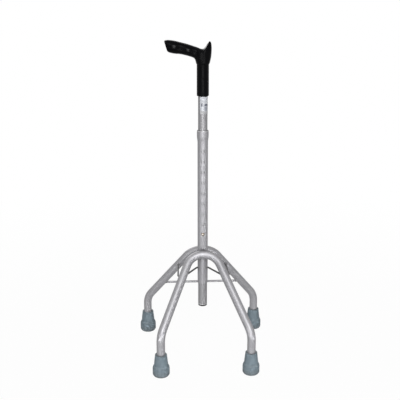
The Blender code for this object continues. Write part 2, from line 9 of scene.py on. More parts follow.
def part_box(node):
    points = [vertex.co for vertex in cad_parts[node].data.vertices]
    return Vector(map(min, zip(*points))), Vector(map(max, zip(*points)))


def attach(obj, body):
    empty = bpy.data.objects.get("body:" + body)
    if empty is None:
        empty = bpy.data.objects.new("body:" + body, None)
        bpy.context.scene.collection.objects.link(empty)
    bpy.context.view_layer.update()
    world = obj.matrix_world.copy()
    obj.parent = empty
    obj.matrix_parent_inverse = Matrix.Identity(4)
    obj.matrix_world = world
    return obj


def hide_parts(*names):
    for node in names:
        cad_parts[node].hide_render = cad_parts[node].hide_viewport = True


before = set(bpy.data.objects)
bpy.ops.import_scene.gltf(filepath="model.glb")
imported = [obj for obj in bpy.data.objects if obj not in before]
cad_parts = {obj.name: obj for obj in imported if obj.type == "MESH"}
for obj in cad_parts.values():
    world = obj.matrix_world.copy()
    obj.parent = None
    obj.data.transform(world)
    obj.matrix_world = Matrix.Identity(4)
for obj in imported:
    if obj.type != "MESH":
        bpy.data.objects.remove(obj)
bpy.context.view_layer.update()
print("frame loaded:", len(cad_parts), "nodes")


def middleOf(node):
    low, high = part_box(node)
    return (low + high) / 2


def halfWidth(node):
    low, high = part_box(node)
    return (high.x - low.x) / 2


up = Vector((0, 0, 1))
fit = 0.0003  # room that neighbouring pieces leave each other
closeBy = 0.000002  # points nearer than this become one
tubeLow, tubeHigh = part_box("inner_tube")
shaft = Vector(((tubeLow.x + tubeHigh.x) / 2, (tubeLow.y + tubeHigh.y) / 2, 0))  # its axis, on the floor
innerRadius = halfWidth("inner_tube")
bellOuter = halfWidth("outer_tube")
tubeBottom, tubeTop = (corner.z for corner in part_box("outer_tube"))
buttonHeight = middleOf("snap_button").z

# Outer tube, here because its paint follows the rim and the holes
outerTube = {"radius": 0.0125, "wall": 0.0011, "bellStraight": 0.0125, "bellTaper": 0.016,
             "lip": 0.0016, "lipRoll": 0.0008, "holeRadius": 0.0041, "holeCount": 9, "holePitch": 0.026,
             "columns": 72, "flareRows": 16, "rimRows": 6, "edge": 0.00032,
             "shadeLift": 0.0034, "shadeHalf": (0.0062, 0.0024), "shadeFrom": 0.006}


class nodeTools:  # builds up one node tree; spot is the place that its patterns read
    def __init__(self, tree, spot=None):
        self.tree = tree
        self.spot = spot

    def feed(self, socket, value):
        if isinstance(value, bpy.types.NodeSocket):
            self.tree.links.new(value, socket)
        else:
            socket.default_value = (*value, 1.0) if socket.type == "RGBA" else value

    def add(self, kind, inputs=None, **settings):
        made = self.tree.nodes.new("ShaderNode" + kind)
        for label, value in settings.items():
            setattr(made, label, value)
        for label, value in (inputs or {}).items():
            self.feed(made.inputs[label], value)
        return made.outputs

    def place(self, effect, inputs):
        return self.add("Group", {"Vector": self.spot, **inputs}, node_tree=effect)

    def toShader(self, inputs):
        for label, value in inputs.items():
            self.feed(self.tree.nodes["Principled BSDF"].inputs[label], value)

    def calc(self, operation, a, b=0.0):
        return self.add("Math", {0: a, 1: b}, operation=operation)[0]

    def plus(self, a, b):
        return self.calc("ADD", a, b)

    def minus(self, a, b):
        return self.calc("SUBTRACT", a, b)

    def times(self, a, b):
        return self.calc("MULTIPLY", a, b)

    def larger(self, a, b):
        return self.calc("MAXIMUM", a, b)

    def remap(self, value, low, high, toLow=0.0, toHigh=1.0):
        inputs = {"Value": value, "From Min": low, "From Max": high, "To Min": toLow, "To Max": toHigh}
        return self.add("MapRange", inputs)["Result"]

    def blend(self, factor, a, b):
        return self.add("Mix", {0: factor, 6: a, 7: b}, data_type="RGBA")[2]

    def vector(self, operation, a, b):
        return self.add("VectorMath", {0: a, 1: b}, operation=operation)[0]

    def scaled(self, color, factor):
        return self.add("VectorMath", {0: color, "Scale": factor}, operation="SCALE")[0]

    def length(self, vector):
        return self.add("VectorMath", {0: vector}, operation="LENGTH")["Value"]

    def parts(self, vector=None):
        return self.add("SeparateXYZ", {0: vector or self.spot})

    def offAxis(self, point):  # how far off the line through the point along Y
        away = self.vector("SUBTRACT", self.spot, point)
        return self.length(self.vector("MULTIPLY", away, (1.0, 0.0, 1.0)))

    def noise(self, scale, detail=2.0, roughness=0.5, vector=None):
        inputs = {"Vector": vector or self.spot, "Scale": scale, "Detail": detail, "Roughness": roughness}
        return self.add("TexNoise", inputs)["Fac"]

    def wander(self, low, high, scale, detail, roughness=0.5):  # noise that keeps from low to high
        return self.remap(self.noise(scale, detail, roughness), 0.3, 0.7, low, high)


# Shared effects, each built once and placed in the materials with their own values
def newEffect(name, inputs, outputs):
    tree = bpy.data.node_groups.new(name, "ShaderNodeTree")
    for label, value in {"Vector": (0, 0, 0), **inputs}.items():
        kind = "Float" if isinstance(value, float) else {3: "Vector", 4: "Color"}[len(value)]
        socket = tree.interface.new_socket(label, in_out="INPUT", socket_type="NodeSocket" + kind)
        socket.default_value = value
    for label, kind in outputs.items():
        tree.interface.new_socket(label, in_out="OUTPUT", socket_type="NodeSocket" + kind)
    given = tree.nodes.new("NodeGroupInput").outputs
    return nodeTools(tree, given["Vector"]), given, tree.nodes.new("NodeGroupOutput").inputs


def finishedMask(nodes, given, result, mask):
    nodes.feed(result["Mask"], nodes.times(mask, given["Amount"]))
    return nodes.tree


def makeToneDrift():  # slow changes of tone over the surface
    nodes, given, result = newEffect("toneDrift", {"Color": (1, 1, 1, 1), "Scale": 10.0, "Amount": 0.05},
                                     {"Color": "Color"})
    field = nodes.noise(given["Scale"], 4.0, 0.6)
    drift = nodes.times(nodes.minus(field, 0.5), nodes.times(given["Amount"], 4.0))  # noise strays by 1/4
    nodes.feed(result["Color"], nodes.scaled(given["Color"], nodes.plus(drift, 1.0)))
    return nodes.tree


def makeFineGrain():  # small bumps of two sizes
    nodes, given, result = newEffect("fineGrain", {"Scale": 900.0, "Fine": 0.4}, {"Height": "Float"})
    broad = nodes.noise(given["Scale"], 1.0)
    small = nodes.noise(nodes.times(given["Scale"], 3.3), 2.0)
    nodes.feed(result["Height"], nodes.add("Mix", {0: given["Fine"], 2: broad, 3: small})[0])
    return nodes.tree


def makeHairlines():  # thin scratches in loose patches
    nodes, given, result = newEffect("hairlines", {"Scale": 60.0, "Amount": 0.5}, {"Mask": "Float"})
    lines = []
    for turn, stretch in ((0.35, (1.0, 0.05, 0.03)), (-0.6, (0.04, 0.05, 1.0))):
        turned = nodes.add("VectorRotate", {"Vector": nodes.spot, "Angle": turn}, rotation_type="Y_AXIS")[0]
        field = nodes.noise(given["Scale"], 1.0, vector=nodes.vector("MULTIPLY", turned, stretch))
        lines.append(nodes.remap(nodes.calc("ABSOLUTE", nodes.minus(field, 0.5)), 0.0, 0.003, 1.0, 0.0))
    patches = nodes.remap(nodes.noise(26.0, 3.0), 0.50, 0.66)
    return finishedMask(nodes, given, result, nodes.times(nodes.larger(*lines), patches))


def makeSettledDust():  # dust on what faces up, broken into soft patches
    nodes, given, result = newEffect("settledDust", {"Amount": 0.3}, {"Mask": "Float"})
    facing = nodes.remap(nodes.parts(nodes.add("NewGeometry")["Normal"])["Z"], 0.25, 0.95)
    specks = nodes.remap(nodes.noise(130.0, 6.0, 0.7), 0.38, 0.66)
    return finishedMask(nodes, given, result, nodes.times(facing, specks))


def makeWornEdges():  # rubbed outer corners
    nodes, given, result = newEffect("wornEdges", {"Amount": 0.5}, {"Mask": "Float"})
    sharp = nodes.remap(nodes.add("NewGeometry")["Pointiness"], 0.58, 0.70)
    broken = nodes.remap(nodes.noise(240.0, 3.0), 0.35, 0.6)
    return finishedMask(nodes, given, result, nodes.times(sharp, broken))


def makeDrawnLines():  # fine lines that run along Z, from drawing the tube
    nodes, given, result = newEffect("drawnLines", {"Scale": 2600.0}, {"Height": "Float", "Shade": "Float"})
    along = nodes.vector("MULTIPLY", nodes.spot, (1.0, 1.0, 0.004))
    fine = nodes.noise(given["Scale"], 3.0, 0.65, along)
    broad = nodes.noise(nodes.times(given["Scale"], 0.16), 2.0, vector=along)
    nodes.feed(result["Height"], fine)
    nodes.feed(result["Shade"], nodes.add("Mix", {0: 0.55, 2: fine, 3: broad})[0])
    return nodes.tree


def makeHoleTopShade():  # painted shade: a dark patch on the paint at the top edge of each height hole
    nodes, given, result = newEffect("holeTopShade", {"Amount": 0.3}, {"Mask": "Float"})
    pitch, count = outerTube["holePitch"], outerTube["holeCount"]
    halfWide, halfHigh = outerTube["shadeHalf"]
    x, y, z = nodes.parts()
    lifted = nodes.minus(z, buttonHeight + outerTube["shadeLift"] - pitch / 2)
    inPitch = nodes.minus(nodes.calc("FRACT", nodes.calc("DIVIDE", lifted, pitch)), 0.5)
    high = nodes.times(inPitch, pitch / halfHigh)
    wide = nodes.calc("DIVIDE", x, halfWide)
    reach = nodes.length(nodes.add("CombineXYZ", {"X": wide, "Y": high})[0])
    ragged = nodes.plus(reach, nodes.wander(-0.3, 0.3, 700.0, 4.0, 0.7))
    mask = nodes.remap(ragged, 0.35, 1.15, 1.0, 0.0)
    inRow = nodes.times(nodes.calc("GREATER_THAN", z, buttonHeight - outerTube["shadeFrom"]),
                        nodes.calc("LESS_THAN", z, buttonHeight + pitch * (count - 0.5)))
    inFront = nodes.times(inRow, nodes.calc("LESS_THAN", y, shaft.y))
    return finishedMask(nodes, given, result, nodes.times(mask, inFront))


toneDrift = makeToneDrift()
fineGrain = makeFineGrain()
hairlines = makeHairlines()
settledDust = makeSettledDust()
wornEdges = makeWornEdges()
drawnLines = makeDrawnLines()
holeTopShade = makeHoleTopShade()
print("shared effects ready")


# Materials
def newLook(name, settings):
    look = bpy.data.materials.new(name)
    look.use_nodes = True
    nodes = nodeTools(look.node_tree)
    nodes.toShader(settings)
    nodes.spot = nodes.add("TexCoord")["Object"]
    return look, nodes


def toned(nodes, color, scale, amount):
    return nodes.place(toneDrift, {"Color": color, "Scale": scale, "Amount": amount})["Color"]


def scratches(nodes, scale, amount):
    return nodes.place(hairlines, {"Scale": scale, "Amount": amount})["Mask"]


def grain(nodes, scale, fine):
    return nodes.place(fineGrain, {"Scale": scale, "Fine": fine})["Height"]


def finishedLook(look, nodes, color, roughness, height, depth):
    normal = nodes.add("Bump", {"Height": height, "Distance": depth, "Strength": 1.0})["Normal"]
    nodes.toShader({"Base Color": color, "Roughness": roughness, "Normal": normal})
    return look


def layered(nodes, color, values, shares):  # lays colours over the first, each by its share
    for layer, share in shares.items():
        color = nodes.blend(share, color, values[layer])
    return color


paleSheen = {"Specular IOR Level": 0.12, "Specular Tint": (0.6, 0.6, 0.6)}
silverPaintLook = {"color": (0.272, 0.270, 0.283), "bareAndHighlight": (0.60, 0.60, 0.61), "dust": (0.52, 0.50, 0.47),
                   "darkTone": (0.075, 0.074, 0.078), "scratched": 0.22, "holeShaded": 0.2, "dusty": 0.14,
                   "rimHighlightHigh": 0.0018, "rimHighlightShare": 0.6, "roughness": 0.44,
                   "flakeScale": 5200.0, "peelScale": 1000.0, "peelDepth": 0.00003}


def makeSilverPaint():  # silver-grey powder coat with a metallic flake
    values = silverPaintLook
    look, nodes = newLook("silverPaint", {"Metallic": 0.70, **paleSheen})
    tone = toned(nodes, values["color"], 18.0, 0.05)
    color = nodes.scaled(tone, nodes.wander(0.90, 1.12, values["flakeScale"], 0.0))
    scratched = scratches(nodes, 110.0, values["scratched"])
    # painted highlight: just below the rim's top the paint is blended towards the bare colour, where the
    # rolled lip catches the light; the scratches share that colour
    ragged = nodes.plus(nodes.parts()["Z"], nodes.wander(-0.0003, 0.0003, 300.0, 3.0))
    rimHighlightHigh = values["rimHighlightHigh"]
    rubbed = nodes.remap(ragged, tubeTop - rimHighlightHigh, tubeTop - rimHighlightHigh / 2, 0.0, values["rimHighlightShare"])
    bareAndHighlight = nodes.larger(scratched, rubbed)
    # painted shade at the top edges of the height holes, in the dark tone
    holeShaded = nodes.place(holeTopShade, {"Amount": values["holeShaded"]})["Mask"]
    dust = nodes.place(settledDust, {"Amount": values["dusty"]})["Mask"]
    color = layered(nodes, color, values, {"bareAndHighlight": bareAndHighlight, "darkTone": holeShaded, "dust": dust})
    cloudy = nodes.wander(values["roughness"] - 0.04, values["roughness"] + 0.05, 34.0, 4.0)
    rough = nodes.minus(nodes.plus(cloudy, nodes.times(dust, 0.4)), nodes.times(bareAndHighlight, 0.10))
    height = nodes.minus(grain(nodes, values["peelScale"], 0.3), nodes.times(bareAndHighlight, 0.3))
    return finishedLook(look, nodes, color, rough, height, values["peelDepth"])


aluminiumLook = {"color": (0.260, 0.258, 0.267), "dark": (0.225, 0.223, 0.230), "bareAndHighlight": (0.52, 0.52, 0.53),
                 "scratch": (0.66, 0.66, 0.66), "scratched": 0.45, "endHighlightHigh": (0.0026, 0.0016),
                 "roughness": 0.44, "lineScale": 2600.0, "lineDepth": 0.000012}


def makeSatinAluminium():  # drawn and anodised tube
    values = aluminiumLook
    look, nodes = newLook("satinAluminium", {"Metallic": 0.75, **paleSheen})
    lines = nodes.place(drawnLines, {"Scale": values["lineScale"]})
    color = nodes.blend(nodes.remap(lines["Shade"], 0.34, 0.66), values["dark"], values["color"])
    color = toned(nodes, color, 12.0, 0.03)
    color = nodes.blend(scratches(nodes, 90.0, values["scratched"]), color, values["scratch"])
    endHighlightFrom, endHighlightFull = (tubeLow.z + high for high in values["endHighlightHigh"])  # painted highlight: a bright band in the bare colour along the tube's lower end
    color = nodes.blend(nodes.remap(nodes.parts()["Z"], endHighlightFrom, endHighlightFull, 0.0, 0.75), color, values["bareAndHighlight"])
    rough = nodes.remap(lines["Shade"], 0.3, 0.7, values["roughness"] + 0.05, values["roughness"] - 0.04)
    return finishedLook(look, nodes, color, rough, lines["Height"], values["lineDepth"])


darkRodLook = {"color": (0.055, 0.054, 0.056), "worn": (0.16, 0.15, 0.15), "roughness": 0.42,
               "grainScale": 1300.0, "grainDepth": 0.00004}


def makeDarkRod():  # satin dark paint on steel rod
    values = darkRodLook
    look, nodes = newLook("darkRod", {"Metallic": 0.25, "Specular IOR Level": 0.4})
    tone = toned(nodes, values["color"], 60.0, 0.12)
    chips = nodes.remap(nodes.noise(420.0, 4.0, 0.7), 0.66, 0.72)
    color = nodes.blend(chips, tone, values["worn"])
    rough = nodes.wander(values["roughness"] - 0.05, values["roughness"] + 0.08, 90.0, 3.0)
    height = grain(nodes, values["grainScale"], 0.5)
    return finishedLook(look, nodes, color, rough, height, values["grainDepth"])


weldLook = {"color": (0.20, 0.198, 0.205), "burnt": (0.07, 0.068, 0.066), "roughness": 0.40,
            "spatterScale": 1500.0, "spatterDepth": 0.00008}


def makeWeldMetal():  # painted weld, kept darker than the tube paint partly as painted shade above the crown, with painted shade in the creases at its toes
    values = weldLook
    look, nodes = newLook("weldMetal", {"Metallic": 0.6, "Specular IOR Level": 0.5})
    burnt = nodes.remap(nodes.noise(380.0, 4.0, 0.65), 0.40, 0.62)
    # painted shade: darker where the bead sinks into the creases along its toes
    creaseShade = nodes.remap(nodes.add("NewGeometry")["Pointiness"], 0.44, 0.52, 0.8, 0.0)
    color = nodes.blend(nodes.larger(nodes.times(burnt, 0.45), creaseShade), values["color"], values["burnt"])
    rough = nodes.remap(burnt, 0.0, 1.0, values["roughness"] - 0.05, values["roughness"] + 0.14)
    spatter = grain(nodes, values["spatterScale"], 0.6)
    return finishedLook(look, nodes, color, rough, spatter, values["spatterDepth"])


rubberLook = {"color": (0.120, 0.152, 0.173), "chalk": (0.20, 0.24, 0.262), "darkTone": (0.095, 0.10, 0.10),
              "dust": (0.42, 0.41, 0.38), "chalky": 0.35, "bottomDarkening": 0.65, "dusty": 0.30, "darkenedUpTo": 0.018,
              "roughness": 0.66, "grainScale": 1100.0, "grainDepth": 0.00012}


def makeTipRubber():  # moulded blue-grey rubber, chalky in places and darker towards the bottom
    values = rubberLook
    look, nodes = newLook("tipRubber", {"Specular IOR Level": 0.15})
    tone = toned(nodes, values["color"], 55.0, 0.07)
    chalk = nodes.remap(nodes.noise(210.0, 6.0, 0.7), 0.56, 0.74, 0.0, values["chalky"])
    # darker towards the bottom, fading out 18 mm up
    ragged = nodes.plus(nodes.parts()["Z"], nodes.remap(nodes.noise(160.0, 4.0), 0.0, 1.0, -0.004, 0.004))
    darkTone = nodes.remap(ragged, values["darkenedUpTo"], 0.0, 0.0, values["bottomDarkening"])
    dust = nodes.place(settledDust, {"Amount": values["dusty"]})["Mask"]
    color = layered(nodes, tone, values, {"chalk": chalk, "darkTone": darkTone, "dust": dust})
    rough = nodes.wander(values["roughness"] - 0.08, values["roughness"] + 0.10, 70.0, 4.0)
    height = nodes.plus(grain(nodes, values["grainScale"], 0.5), nodes.times(chalk, 0.6))
    return finishedLook(look, nodes, color, rough, height, values["grainDepth"])


gripLook = {"color": (0.0008, 0.0008, 0.0012), "rubbed": (0.002, 0.002, 0.0026), "lint": (0.12, 0.115, 0.11),
            "roughness": 0.32, "level": 0.050, "dullBy": 0.026, "polishedLevel": 0.145, "linty": 0.10,
            "grainScale": 1500.0, "grainDepth": 0.00006, "handledFrom": 0.735, "handledOver": 0.02,
            "polishedAt": [(-0.0670, 0.7540), (-0.0345, 0.7460)], "polishedReach": (0.0015, 0.0065)}


def makeGripPlastic():  # black moulding with a fine spark-eroded grain, polished by the hand on top
    values = gripLook
    look, nodes = newLook("gripPlastic", {})
    tone = toned(nodes, values["color"], 30.0, 0.10)
    wavy = nodes.plus(nodes.parts()["Z"], nodes.remap(nodes.noise(45.0, 3.0), 0.0, 1.0, -0.008, 0.008))
    handled = nodes.remap(wavy, values["handledFrom"], values["handledFrom"] + values["handledOver"])
    polished = 0.0  # where fingers rub the swells on both sides
    for x, z in values["polishedAt"]:
        near = nodes.remap(nodes.offAxis((x, 0, z)), *values["polishedReach"], 1.0, 0.0)
        polished = nodes.larger(polished, near)
    level = nodes.minus(values["level"], nodes.times(handled, values["dullBy"]))
    shine = nodes.larger(level, nodes.times(polished, values["polishedLevel"]))
    nodes.toShader({"Specular IOR Level": shine})
    color = nodes.blend(nodes.times(handled, 0.5), tone, values["rubbed"])
    lint = nodes.times(nodes.remap(nodes.noise(900.0, 2.0), 0.70, 0.76), values["linty"])
    color = nodes.blend(lint, color, values["lint"])
    cloudy = nodes.wander(values["roughness"] - 0.05, values["roughness"] + 0.07, 60.0, 5.0, 0.6)
    rough = nodes.minus(cloudy, nodes.times(polished, 0.06))
    cells = nodes.add("TexVoronoi", {"Vector": nodes.spot, "Scale": values["grainScale"]})["Distance"]
    relief = nodes.times(nodes.plus(cells, grain(nodes, values["grainScale"], 0.4)),
                         nodes.minus(1.0, nodes.times(handled, 0.4)))
    return finishedLook(look, nodes, color, rough, relief, values["grainDepth"])


plasticLook = {"toneScale": 120.0, "worn": 0.4, "wornGain": 1.8, "wornLift": 0.02,
               "grainScale": 1700.0, "grainDepth": 0.00005}


def makePlainPlastic(name, color, roughness):  # small mouldings: bush and plug
    values = plasticLook
    look, nodes = newLook(name, {"Specular IOR Level": 0.35})
    paler = [min(1.0, part * values["wornGain"] + values["wornLift"]) for part in color]
    rubbed = nodes.place(wornEdges, {"Amount": values["worn"]})["Mask"]
    color = nodes.blend(rubbed, toned(nodes, color, values["toneScale"], 0.08), paler)
    rough = nodes.wander(roughness - 0.05, roughness + 0.08, 150.0, 3.0)
    height = grain(nodes, values["grainScale"], 0.5)
    return finishedLook(look, nodes, color, rough, height, values["grainDepth"])


# the tint lies below the height shares and right of the turns; the foot is the strip at the bottom
labelLook = {"color": (0.46, 0.475, 0.51), "aged": (0.37, 0.38, 0.40), "ink": (0.060, 0.068, 0.095),
             "tint": (0.19, 0.205, 0.24), "foot": (0.30, 0.295, 0.295), "scratch": (0.42, 0.43, 0.45),
             "tintHigh": (0.42, 0.50), "tintTurn": (0.10, 0.45), "footHigh": (0.16, 0.22),
             "scratched": 0.5, "roughness": 0.36, "wrinkleScale": 260.0, "wrinkleDepth": 0.00006}
# plain printed shapes, each with its turn round the tube, its share of the height, half sizes and strength
labelMarks = [{"turn": 0.84, "share": 0.53, "half": (0.0068, 0.0024), "strength": 1.0},
              {"turn": -0.27, "share": 0.53, "half": (0.0016, 0.0042), "strength": 0.85}]


def makeLabelFilm():  # satin film with worn plain shapes and no lettering
    values = labelLook
    look, nodes = newLook("labelFilm", {"Coat Weight": 0.2, "Coat Roughness": 0.2})
    low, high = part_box("label")
    x, y, z = nodes.parts(nodes.vector("SUBTRACT", nodes.spot, tuple(shaft)))
    turn = nodes.calc("ARCTAN2", x, nodes.times(y, -1.0))
    share = nodes.remap(z, low.z, high.z)
    aged = nodes.remap(nodes.noise(95.0, 5.0, 0.62), 0.42, 0.68)
    color = nodes.blend(aged, values["color"], values["aged"])
    tinted = nodes.times(nodes.remap(share, *values["tintHigh"], 0.8, 0.0),
                         nodes.remap(turn, *values["tintTurn"]))
    color = nodes.blend(tinted, color, values["tint"])
    color = nodes.blend(nodes.remap(share, *values["footHigh"], 0.7, 0.0), color, values["foot"])
    wobble = nodes.wander(-0.25, 0.25, 420.0, 3.0)
    for mark in labelMarks:
        across = nodes.times(nodes.minus(turn, mark["turn"]), innerRadius / mark["half"][0])
        along = nodes.times(nodes.minus(share, mark["share"]), (high.z - low.z) / mark["half"][1])
        cubes = [nodes.calc("POWER", nodes.calc("ABSOLUTE", part), 3.0) for part in (across, along)]
        inked = nodes.remap(nodes.plus(nodes.plus(*cubes), wobble), 0.75, 1.1, mark["strength"], 0.0)
        color = nodes.blend(inked, color, values["ink"])
    color = nodes.blend(scratches(nodes, 150.0, values["scratched"]), color, values["scratch"])
    rough = nodes.remap(aged, 0.0, 1.0, values["roughness"], values["roughness"] + 0.12)
    height = nodes.noise(values["wrinkleScale"], 4.0, 0.6)
    return finishedLook(look, nodes, color, rough, height, values["wrinkleDepth"])


steelLook = {"darkenedRough": 0.2, "grainScale": 1400.0, "grainDepth": 0.00003}


def makeBareSteel(name, color, roughness, darkTint, tarnishScale, rim=None):  # button, spring and washers
    look, nodes = newLook(name, {"Metallic": 1.0})
    darkened = nodes.remap(nodes.noise(tarnishScale, 5.0, 0.7), 0.48, 0.72)
    if rim:  # a darker brown ring is blended in between these two distances off the button's axis
        darkened = nodes.larger(darkened, nodes.remap(nodes.offAxis(middleOf("snap_button")), *rim))
    rough = nodes.remap(darkened, 0.0, 1.0, roughness, roughness + steelLook["darkenedRough"])
    color = nodes.blend(darkened, color, darkTint)
    height = grain(nodes, steelLook["grainScale"], 0.7)
    return finishedLook(look, nodes, color, rough, height, steelLook["grainDepth"])


silverPaint = makeSilverPaint()
satinAluminium = makeSatinAluminium()
darkRod = makeDarkRod()
weldMetal = makeWeldMetal()
tipRubber = makeTipRubber()
gripPlastic = makeGripPlastic()
bushPlastic = makePlainPlastic("bushPlastic", (0.11, 0.11, 0.125), 0.48)
plugPlastic = makePlainPlastic("plugPlastic", (0.022, 0.022, 0.024), 0.42)
labelFilm = makeLabelFilm()
buttonSteel = makeBareSteel("buttonSteel", (0.46, 0.43, 0.39), 0.36, (0.13, 0.085, 0.055), 520.0,
                            (0.0019, 0.0028))
springSteel = makeBareSteel("springSteel", (0.34, 0.34, 0.36), 0.32, (0.16, 0.15, 0.15), 300.0)
zinc = makeBareSteel("zincPlate", (0.55, 0.56, 0.55), 0.38, (0.40, 0.40, 0.36), 260.0)
print("materials ready")


# Modelling helpers
def linked(name, data):
    made = bpy.data.objects.new(name, data)
    bpy.context.scene.collection.objects.link(made)
    return made


def meshOf(name, bm, look):
    mesh = bpy.data.meshes.new(name)
    bm.to_mesh(mesh)
    bm.free()
    mesh.materials.append(look)
    return mesh


def addPiece(name, bm, look, body, stoodFor=(), sharpAngle=40):
    bmesh.ops.remove_doubles(bm, verts=bm.verts, dist=closeBy)
    bmesh.ops.recalc_face_normals(bm, faces=bm.faces)
    mesh = meshOf(name, bm, look)
    mesh.shade_smooth()
    mesh.set_sharp_from_angle(angle=math.radians(sharpAngle))
    piece = linked(name, mesh)
    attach(piece, body)
    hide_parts(*stoodFor)
    return piece


def addWall(piece, thickness, edge, segments=3):  # the wall grows inwards, then its edges are eased
    wall = piece.modifiers.new("wall", "SOLIDIFY")
    wall.thickness = thickness
    wall.offset = -1
    wall.use_even_offset = True
    ease = piece.modifiers.new("eased edges", "BEVEL")
    ease.width = edge
    ease.segments = segments
    ease.limit_method = "ANGLE"
    ease.angle_limit = math.radians(50)
    ease.harden_normals = True


def roundedProfile(corners, closed=False, steps=4):
    # each corner is (radius, height, rounding); a rounding of 0 stays sharp
    spots = [Vector(corner[:2]) for corner in corners]
    points = []
    for i, (spot, corner) in enumerate(zip(spots, corners)):
        atEnd = not closed and i in (0, len(spots) - 1)
        if atEnd or corner[2] == 0:
            points.append(spot)
            continue
        before = (spots[i - 1] - spot).normalized()
        after = (spots[(i + 1) % len(spots)] - spot).normalized()
        half = before.angle(after) / 2
        centre = spot + (before + after).normalized() * corner[2] / math.sin(half)
        arm = spot + before * corner[2] / math.tan(half) - centre
        endArm = spot + after * corner[2] / math.tan(half) - centre
        sweep = math.atan2(arm.cross(endArm), arm.dot(endArm))
        points += [centre + Matrix.Rotation(sweep * k / steps, 2) @ arm for k in range(steps + 1)]
    return points


def turned(profile, centre, segments=96, closed=False):
    bm = bmesh.new()
    verts = [bm.verts.new((r, 0, z)) for r, z in profile]
    edges = [bm.edges.new(pair) for pair in zip(verts, verts[1:])]
    if closed:
        edges.append(bm.edges.new((verts[-1], verts[0])))
    bmesh.ops.spin(bm, geom=verts + edges, cent=(0, 0, 0), axis=up, angle=math.tau, steps=segments,
                   use_merge=True, use_duplicate=False)
    bmesh.ops.translate(bm, vec=centre, verts=bm.verts)
    return bm


def extrudeRing(bm, edges, matrix):
    made = bmesh.ops.extrude_edge_only(bm, edges=edges)["geom"]
    verts = {item for item in made if isinstance(item, bmesh.types.BMVert)}
    bmesh.ops.transform(bm, matrix=matrix, verts=list(verts))
    return [item for item in made if isinstance(item, bmesh.types.BMEdge) and verts.issuperset(item.verts)]


def swept(path, radii, sides, ends="capped"):
    # a round bar along the path, with a radius for each point; its ends are capped, open or joined
    bm = bmesh.new()
    runs = [(b - a).normalized() for a, b in zip(path, path[1:])]
    before, after = runs[0], runs[-1]
    if ends == "joined":
        before = after = (path[0] - path[-1]).normalized()
    runs = [before, *runs, after]
    headings = [(a + b).normalized() for a, b in zip(runs, runs[1:])]
    bmesh.ops.create_circle(bm, segments=sides, radius=radii[0])
    lean = up.rotation_difference(headings[0]).to_matrix().to_4x4()
    bmesh.ops.transform(bm, matrix=Matrix.Translation(path[0]) @ lean, verts=bm.verts)
    first = edges = list(bm.edges)
    for i in range(1, len(path)):
        turn = headings[i - 1].rotation_difference(headings[i]).to_matrix().to_4x4()
        grow = Matrix.Scale(radii[i] / radii[i - 1], 4)
        move = Matrix.Translation(path[i]) @ turn @ grow @ Matrix.Translation(-path[i - 1])
        edges = extrudeRing(bm, edges, move)
    if ends == "capped":
        bmesh.ops.contextual_create(bm, geom=first)
        bmesh.ops.contextual_create(bm, geom=edges)
    if ends == "joined":
        bmesh.ops.bridge_loops(bm, edges=first + edges)
    return bm


def arcPoints(centre, arm, angle, axis, step):
    count = max(2, math.ceil(abs(angle) / step))
    return [centre + Matrix.Rotation(angle * i / count, 3, axis) @ arm for i in range(count + 1)]


def mirrored(point):
    return Vector((-point.x, point.y, point.z))


# Outer tube: bell mouth at the top and a row of height holes in front
flareBottom = tubeTop - outerTube["bellStraight"] - outerTube["bellTaper"]


def outerRadius(z):
    values = outerTube
    share = min(1, max(0, (z - flareBottom) / values["bellTaper"]))
    roll = max(0, (z - tubeTop) / values["lip"] + 1)  # the rim is rolled in a little
    rolled = values["lipRoll"] * (1 - math.sqrt(max(0, 1 - roll * roll)))
    return values["radius"] + (bellOuter - values["radius"]) * share * share * (3 - 2 * share) - rolled


def drilledTube(radiusAt, rows, holes):
    # a tube skin with round holes in its front, each in a patch of quads of its own
    values = outerTube
    patchRows = 3
    patchTurn = math.radians(30)
    step = values["holePitch"] / 12
    heights = {round(z, 6) for z in rows}
    for hole in holes:
        heights |= {round(hole + step * k, 6) for k in range(-patchRows, patchRows + 1)}
    heights = sorted(heights)
    bm = bmesh.new()
    bmesh.ops.create_circle(bm, segments=values["columns"], radius=radiusAt(heights[0]))
    bmesh.ops.translate(bm, vec=up * heights[0], verts=bm.verts)
    edges = list(bm.edges)
    for low, high in zip(heights, heights[1:]):
        grow = radiusAt(high) / radiusAt(low)
        grown = Matrix.Diagonal((grow, grow, 1, 1))
        edges = extrudeRing(bm, edges, Matrix.Translation(up * high) @ grown @ Matrix.Translation(-up * low))
    for hole in holes:
        def inPatch(point, slack):
            around = abs(math.atan2(point.x, -point.y))
            return around < patchTurn + slack and abs(point.z - hole) < step * patchRows + slack
        faces = [face for face in bm.faces if inPatch(face.calc_center_median(), 0)]
        bmesh.ops.delete(bm, geom=faces, context="FACES")
        around = [edge for edge in bm.edges
                  if edge.is_boundary and all(inPatch(vert.co, 0.0001) for vert in edge.verts)]
        rim = bmesh.ops.create_circle(bm, segments=len(around), radius=values["holeRadius"])["verts"]
        rimEdges = list({edge for vert in rim for edge in vert.link_edges})
        r = radiusAt(hole)
        for vert in rim:
            vert.co = (vert.co.x, -math.sqrt(r * r - vert.co.x ** 2), hole + vert.co.y)
        made = bmesh.ops.bridge_loops(bm, edges=around + rimEdges)["faces"]
        spokes = {edge for face in made for edge in face.edges} - set(around) - set(rimEdges)
        bmesh.ops.subdivide_edges(bm, edges=list(spokes), cuts=3, use_grid_fill=True)
    for vert in bm.verts:
        flat = Vector((vert.co.x, vert.co.y, 0)).normalized() * radiusAt(vert.co.z)
        vert.co = shaft + flat + up * vert.co.z
    return bm


